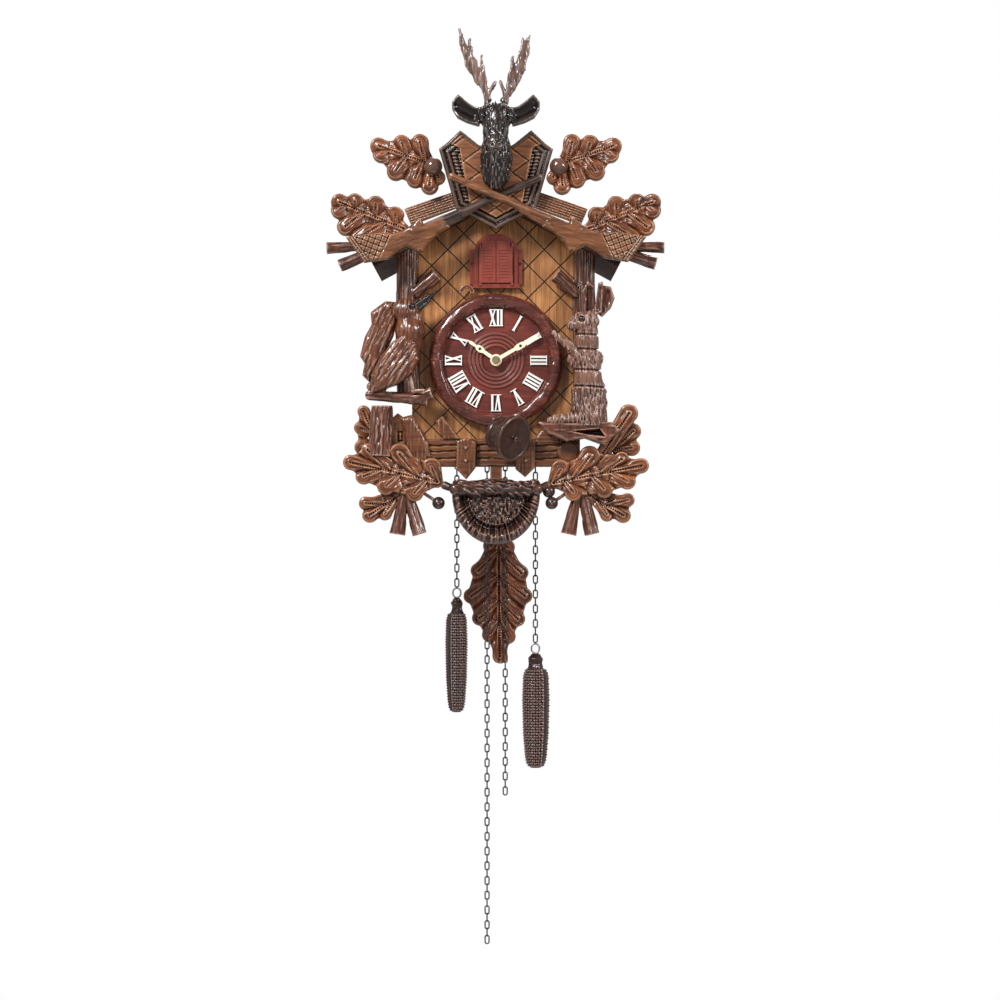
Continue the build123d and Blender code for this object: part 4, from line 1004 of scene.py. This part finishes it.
RAILS = ((-193.5, 2.6), (-199.2, 2.2), (-204.8, 2.6), (-211.5, 3.2))  # height of the middle, half width
PICKETS = ((-25.5, -193, -226), (25, -192, -224))  # middle, shoulder and tip
RELIEFS = (  # outline, growth, thickness, edge radius and roughness: a post, a hill and a stump
    ([(-5, -206), (5, -206), (5, -231), (-5, -231)], 0, 4, 1, 0),
    (
        [(-80, -174), (-72, -172), (-66, -182), (-59, -195), (-57, -206), (-62, -212), (-74, -208)],
        1.5, 8, 4, 1.1,
    ),
    ([(-51, -176), (-46, -172), (-38, -182), (-32, -191), (-45, -191)], 0.5, 7, 2, 0.8),
)
HUT = [(-90, -174), (-84, -169), (-72, -178), (-72, -205), (-90, -205)]


def fence():
    def field(p):
        x, z = p[0], p[2]
        waver = 0.35 * np.sin(0.21 * x) + 0.2 * np.sin(0.57 * x + z)
        grain = noise(x / 14 + 20, z / 1.3 + 300, 31) - 0.5
        upright = noise(x / 1.4 + 200, z / 12 + 60, 32) - 0.5
        parts = []
        for level, half in RAILS:
            edge = np.maximum(np.abs(z - level + waver) - half, np.abs(x) - 60)
            parts.append(plate(p, FRONT, edge, 4.8 + 0.5 * grain, 1.6))
        for at, top, tip in PICKETS:
            shoulders = [(at - 8, top), (at, top + 3), (at + 9, top - 1)]
            board = outline(x, z, [*shoulders, (at + 8, -216), (at, tip), (at - 8.5, -217)])
            parts.append(plate(p, FRONT, board, 10.6 + 0.7 * upright, 1.8))
            for nail in (-199, -210):
                parts.append(ball(p, (at, FRONT - 10.8, nail), (1.6, 1.4, 1.6)))
        for shape, growth, thick, radius, rough in RELIEFS:
            parts.append(plate(p, FRONT, outline(x, z, shape) - growth, thick + rough * upright, radius))
        window = groove(np.maximum(np.abs(x + 82) - 1.6, np.abs(z + 189) - 3.6), 0.8, 2.4)
        parts.append(plate(p, FRONT, outline(x, z, HUT), 6 + 0.5 * upright - window, 1.4))
        arch = np.hypot((x - 44) / 11, (z + 194) / 12) * 11 - 11
        parts.append(slab(p, FRONT, rounded(arch, 6 + 0.8 * grain, 3), np.maximum(arch, -194 - z)))
        plank = np.hypot((x - 62) / 10, (z + 202) / 9) * 9 - 9
        parts.append(plate(p, FRONT, plank, 9, 3))
        return joined(parts)

    low, high = (-92, FRONT - 13, -232), (74, FRONT, -168)
    carve("fence_carving", field, low, high, FENCE, "fence_wood", "fence", cell=0.55)


def game_bag():
    back = FRONT - 2

    def field(p):
        x, z = p[0], p[2]
        angle = np.arctan2(z + 232, x)
        r = np.hypot(x / 37.5, (z + 238) / 43.5)
        edge = np.maximum((r - 1) * 38, z + 236)
        fur = 2.4 * sharpen(noise(angle * 26 + 60, r * 5.5, 41))
        crescent = groove(np.hypot(x / 29, (z + 240) / 30) - 0.93, 0.13, 7.0)
        inner = np.hypot(x / 29, (z + 240) / 30) < 0.8
        scales = 2.2 * sharpen(noise(x / 1.6 + 70, z / 2.6 + 170, 42))
        top = np.where(inner, 12 + scales, 16 + fur - crescent)
        pouch = plate(p, back, edge, top, 6)
        rough = 1.6 * (sharpen(noise(x / 3.4 + 0.3 * z + 90, z / 1.7 + p[1] / 2 + 300, 44)) - 0.5)
        wave = 1.2 * np.cos(x / 6.5)
        roll = rod([x, p[1], z - wave], (-31, back - 14, -233), (31, back - 14, -233), 6.8) + rough
        knobs = joined([ball(p, (s * 34.5, back - 16, -234), 5.4) for s in (-1, 1)])
        arms = joined([rod(p, (s * 36, back - 15, -234), (s * 43.5, back - 12, -231), 3, 3.6) for s in (-1, 1)])
        return joined([pouch, roll, knobs, arms], 0.6)

    low, high = (-48, -144, -284), (48, back, -222)
    carve("game_bag_carving", field, low, high, BAG, "bag_wood", "game_bag", cell=0.55)


def flask():
    centre, normal = (13.3, FRONT - 30, -191), (0.706, -0.66, -0.257)

    def field(p):
        q = [c - m for c, m in zip(p, centre)]
        t = sum(c * k for c, k in zip(q, normal))
        r = np.sqrt(np.maximum(sum(c * c for c in q) - t * t, 0))
        dish = 3.4 - 1.0 * np.clip(1 - (r / 17.5) ** 2, 0, 1) + groove(r - 18, 1.0, 0.7)
        disc = np.maximum(np.maximum(r - 19.6, t - dish), -t - 0.2)
        drum = np.maximum(np.maximum(r - 14.8 + groove(t + 13, 0.8, 0.6), t), -t - 17)
        stud = np.maximum(r - 2.0, np.abs(t - 4) - 1.9)
        return joined([disc, drum, stud], 0.6)

    low, high = (-14, -166, -213), (32, FRONT - 8, -169)
    carve("flask_turning", field, low, high, TURNED, "bark_wood", "flask", cell=0.5)


# ---------------------------------------------------------------- dial
def dial_ring():
    middle = (DIAL_LOW[1] + DIAL_HIGH[1]) / 2
    centre_r = 51.2

    def field(p):
        x, y, z = p[0], p[1] - middle, p[2] - DIAL_Z
        theta = np.arctan2(z, x)
        q = np.hypot(x, z) - centre_r
        phi = np.arctan2(y, q)
        slant = theta * 9 + 0.5 * np.sin(4 * theta)
        bark = sharpen(noise(slant + 0.45 * phi + 60, 1.7 * phi + 30, 51))
        wraps = np.abs(np.sin(4.5 * theta + 0.35 * phi + 0.8 * np.sin(2 * theta)))
        tube = np.hypot(q, y) - 6.3 + 0.6 * (1 - bark) + 0.5 * (1 - wraps**0.3)
        curl = np.abs(np.hypot(x + 25, z - 58.5) - 4.5) - 1.5
        curl = np.maximum(np.maximum(curl, np.abs(y + 1) - 2.5), 57 - z)
        return np.maximum(join(tube, curl, 1), DIAL_LOW[1] - p[1])

    low = (-58, DIAL_LOW[1] - 0.5, DIAL_Z - 58)
    carve("ring_carving", field, low, (58, DIAL_HIGH[1], DIAL_Z + 66), RING, "dial_wood", "dial_ring", cell=0.5)


# ---------------------------------------------------------------- weights, chains and pendulum
def lathed(name, radius, low, high, centre, rows, around):
    """A closed upright turning whose radius is a formula of angle and height, capped at both ends."""
    z, a = np.linspace(low, high, rows), np.linspace(0, 2 * math.pi, around, endpoint=False)
    aa, zz = np.meshgrid(a, z)
    r = radius(aa, zz)
    r[0], r[-1] = 0.05, 0.05
    points = np.stack([centre[0] + r * np.cos(aa), centre[1] + r * np.sin(aa), zz], axis=-1).reshape(-1, 3)
    i, j = np.meshgrid(np.arange(rows - 1), np.arange(around), indexing="ij")
    k = (j + 1) % around
    quads = np.stack([i * around + j, i * around + k, (i + 1) * around + k, (i + 1) * around + j], axis=-1)
    return mesh_object(name, points, quads.reshape(-1, 4))


def torus_points(wide, tall, wire, steps, sides, upright):
    """A stadium-shaped link standing in XZ or turned into YZ."""
    turn = np.linspace(0, 2 * math.pi, steps, endpoint=False)
    straight = (tall - wide) / 2
    mx, mz = (wide / 2 - wire) * np.cos(turn), (wide / 2 - wire) * np.sin(turn)
    mz = mz + np.where(mz >= 0, straight, -straight)
    nx, nz = np.cos(turn), np.sin(turn)
    roll = np.linspace(0, 2 * math.pi, sides, endpoint=False)
    a = mx[:, None] + wire * nx[:, None] * np.cos(roll)
    b = np.broadcast_to(wire * np.sin(roll), a.shape)
    c = mz[:, None] + wire * nz[:, None] * np.cos(roll)
    order = (a, b, c) if upright else (b, a, c)
    points = np.stack(order, axis=-1).reshape(-1, 3)
    i, j = np.meshgrid(np.arange(steps), np.arange(sides), indexing="ij")
    ni, nj = (i + 1) % steps, (j + 1) % sides
    ring = [i * sides + j, ni * sides + j, ni * sides + nj, i * sides + nj]
    quads = np.stack(ring if not upright else ring[::-1], axis=-1).reshape(-1, 4)
    return points, quads


LINK_LONG, LINK_WIDE, LINK_WIRE, LINK_PITCH = 8.6, 4.8, 0.62, 6.49


def chain(name, x, low, high, body, node):
    """Links of wire from high down to low, every second one turned."""
    count = int((high - low) / LINK_PITCH)
    points, quads, start = [], [], 0
    for i in range(count + 1):
        ring, faces = torus_points(LINK_WIDE, LINK_LONG, LINK_WIRE, 20, 8, i % 2 == 0)
        points.append(ring + (x, CHAIN_Y, low + LINK_LONG / 2 + i * LINK_PITCH))
        quads.append(faces + start)
        start += len(ring)
    obj = mesh_object(name, np.concatenate(points), np.concatenate(quads))
    return finish_piece(obj, body, LINK, "chain_steel", node)


def cone_weight(name, node, girth, seam):
    """A cast cone in rows of scales, with a plain seam down one side, below its ring. Its body has its name."""
    low, high = span(node)
    x = (low[0] + high[0]) / 2
    top, toe = high[2] - 8.4, low[2]
    length = top - toe
    row_height = 2.4

    def radius(a, z):
        s = (top - z) / length
        stations = [0, 0.02, 0.05, 0.09, 0.13, 0.15, 0.2, 0.4, 0.7, 0.9, 0.96, 0.985, 1]
        sizes = [2.5, 4.6, 6.6, 5.8, 6.8, 9.0, 10.6, 11.3, 10.6, 9.0, 7.8, 6.2, 4]
        shape = np.interp(s, stations, sizes) * girth
        row = np.floor((top - z) / row_height)
        across = np.abs(np.sin(7 * a + math.pi / 2 * (row % 2)))
        down = ((top - z) / row_height) % 1
        scale = 1.15 * np.clip(across * 1.8, 0, 1) ** 0.8 * np.sin(math.pi * np.clip(down * 1.15, 0, 1)) ** 0.5
        gap = np.abs((a - seam + math.pi) % (2 * math.pi) - math.pi)
        plain = gap < 0.42
        rib = 0.9 * np.exp(-(((gap - 0.46) / 0.06) ** 2))
        jagged = 0.9 * noise(3 * a + 9, z / 2 + 300, 61)
        return shape - 0.9 + np.where(s > 0.14, np.where(plain, 0.7, scale) + rib, jagged)

    obj = lathed(name, radius, toe, top, (x, CHAIN_Y), 480, 168)
    finish_piece(obj, node, IRON, "iron", node)
    ring, faces = torus_points(8.4, 9.6, 0.75, 40, 12, True)
    hook = mesh_object(f"{name}_ring", ring + (x, CHAIN_Y, high[2] - 4.6), faces)
    finish_piece(hook, node, STEEL, "steel")


def chains_and_weights():
    for kind, girth, seam in (("time", 0.84, -2.55), ("strike", 1.04, -0.5)):
        loaded, free, weight = f"{kind}_chain_loaded", f"{kind}_chain_free", f"{kind}_weight"
        for run, body in ((loaded, weight), (free, free)):
            low, high = span(run)
            chain(f"{run}_links", (low[0] + high[0]) / 2, low[2], high[2] - 2, body, run)
        cone_weight(f"{kind}_cone", weight, girth, seam)


def pendulum_leaf():
    low, high = PENDULUM
    lobes = [
        (0.0, -10, -289), (0.1, -21, -311), (0.3, -28, -333), (0.5, -20, -353), (0.66, -10, -369),
        (0.0, 15, -290), (0.1, 27, -313), (0.3, 31, -333), (0.5, 24, -354), (0.66, 14, -371),
    ]

    def field(p):
        body = leaf_solid(p, high[1], 7.6, (2, -278), (3.5, low[2] + 0.6), lobes, 6.8)
        body = body + groove(p[0] - 2.4, 0.9, 1.4) * (p[1] < high[1] - 3)
        return cut(body, rod(p, (0, -33, -200), (0, -33, -291), 1.5))

    carve(
        "pendulum_carving", field, (low[0] - 1, low[1] - 1, low[2]), (high[0] + 1, high[1], high[2]), BOB,
        "pendulum_wood", "pendulum_leaf", cell=0.5, body="pendulum",
    )


def dial_face():
    low, high = span("dial_plate")
    face = low[1]

    def field(p):
        r = np.hypot(p[0], p[2] - DIAL_Z)
        rings = 0.85 * np.abs(np.sin(math.pi * (r - 11.5) / 3.25)) * ((r > 11.5) & (r < 24.5))
        surface = 0.9 - rings
        return np.maximum(np.maximum(face + surface - p[1], p[1] - high[1]), np.maximum(r - 45.9, 4.2 - r))

    low_corner, high_corner = (-46.5, face - 0.5, DIAL_Z - 46.5), (46.5, high[1], DIAL_Z + 46.5)
    carve("dial_turning", field, low_corner, high_corner, DIAL_WOOD, "dial_wood", "dial_plate", cell=0.5)


# ---------------------------------------------------------------- stage
CAMERA_PLACE = (0.0034, -2.14, -0.2434)
LENS, SENSOR_WIDTH = 85.0, 36.0
FLOOR_SIZE, FLOOR_PLACE = 0.8, (0, -0.1, -0.8)
WORLD_STRENGTH = 0.42
LAMPS_AIM = (0, -0.1, -0.1)
LAMPS = (  # name, place, size and power
    ("key", (-0.9, -1.3, 0.9), 0.35, 34),
    ("side", (1.2, -0.9, 0.4), 0.3, 12),
    ("back", (0.3, 1.2, 1.0), 0.8, 10),
)


def area_light(name, place, size, power):
    light = bpy.data.lights.new(name, "AREA")
    light.size, light.energy = size, power
    obj = bpy.data.objects.new(name, light)
    bpy.context.scene.collection.objects.link(obj)
    obj.location = place
    way = bpy.data.objects.new(f"{name}_aim", None)
    bpy.context.scene.collection.objects.link(way)
    way.location = LAMPS_AIM
    track = obj.constraints.new("TRACK_TO")
    track.target, track.track_axis, track.up_axis = way, "TRACK_NEGATIVE_Z", "UP_Y"


def stage():
    camera = bpy.data.cameras.new("camera")
    camera.lens, camera.sensor_width = LENS, SENSOR_WIDTH
    camera_object = bpy.data.objects.new("camera", camera)
    bpy.context.scene.collection.objects.link(camera_object)
    camera_object.location = CAMERA_PLACE
    camera_object.rotation_euler = (math.pi / 2, 0, 0)
    bpy.context.scene.camera = camera_object

    bpy.ops.mesh.primitive_plane_add(size=FLOOR_SIZE, location=FLOOR_PLACE)
    floor = bpy.context.object
    floor.name = "floor"
    paint = painted("floor_paint", (244, 243, 240), gloss=0.7, speck=0.02, coat=0.0)
    floor.data.materials.append(paint)

    world = bpy.data.worlds.new("studio")
    bpy.context.scene.world = world
    world.use_nodes = True
    tree = world.node_tree
    tree.nodes["Background"].inputs["Strength"].default_value = WORLD_STRENGTH
    backdrop = tree.nodes.new("ShaderNodeBackground")
    seen = tree.nodes.new("ShaderNodeLightPath")
    blend = tree.nodes.new("ShaderNodeMixShader")
    for background in (tree.nodes["Background"], backdrop):
        background.inputs["Color"].default_value = (1, 1, 1, 1)
    tree.links.new(seen.outputs["Is Camera Ray"], blend.inputs["Fac"])
    tree.links.new(tree.nodes["Background"].outputs["Background"], blend.inputs[1])
    tree.links.new(backdrop.outputs["Background"], blend.inputs[2])
    tree.links.new(blend.outputs["Shader"], tree.nodes["World Output"].inputs["Surface"])
    bpy.context.scene.view_settings.view_transform = "Standard"

    for lamp in LAMPS:
        area_light(*lamp)


stage()
crown()
gable()
stag()
bosses()
upper_leaves()
lower_leaves()
twigs()
rifles()
trunks()
woodpecker()
hare()
perches()
fence()
game_bag()
flask()
dial_ring()
dial_face()
pendulum_leaf()
chains_and_weights()
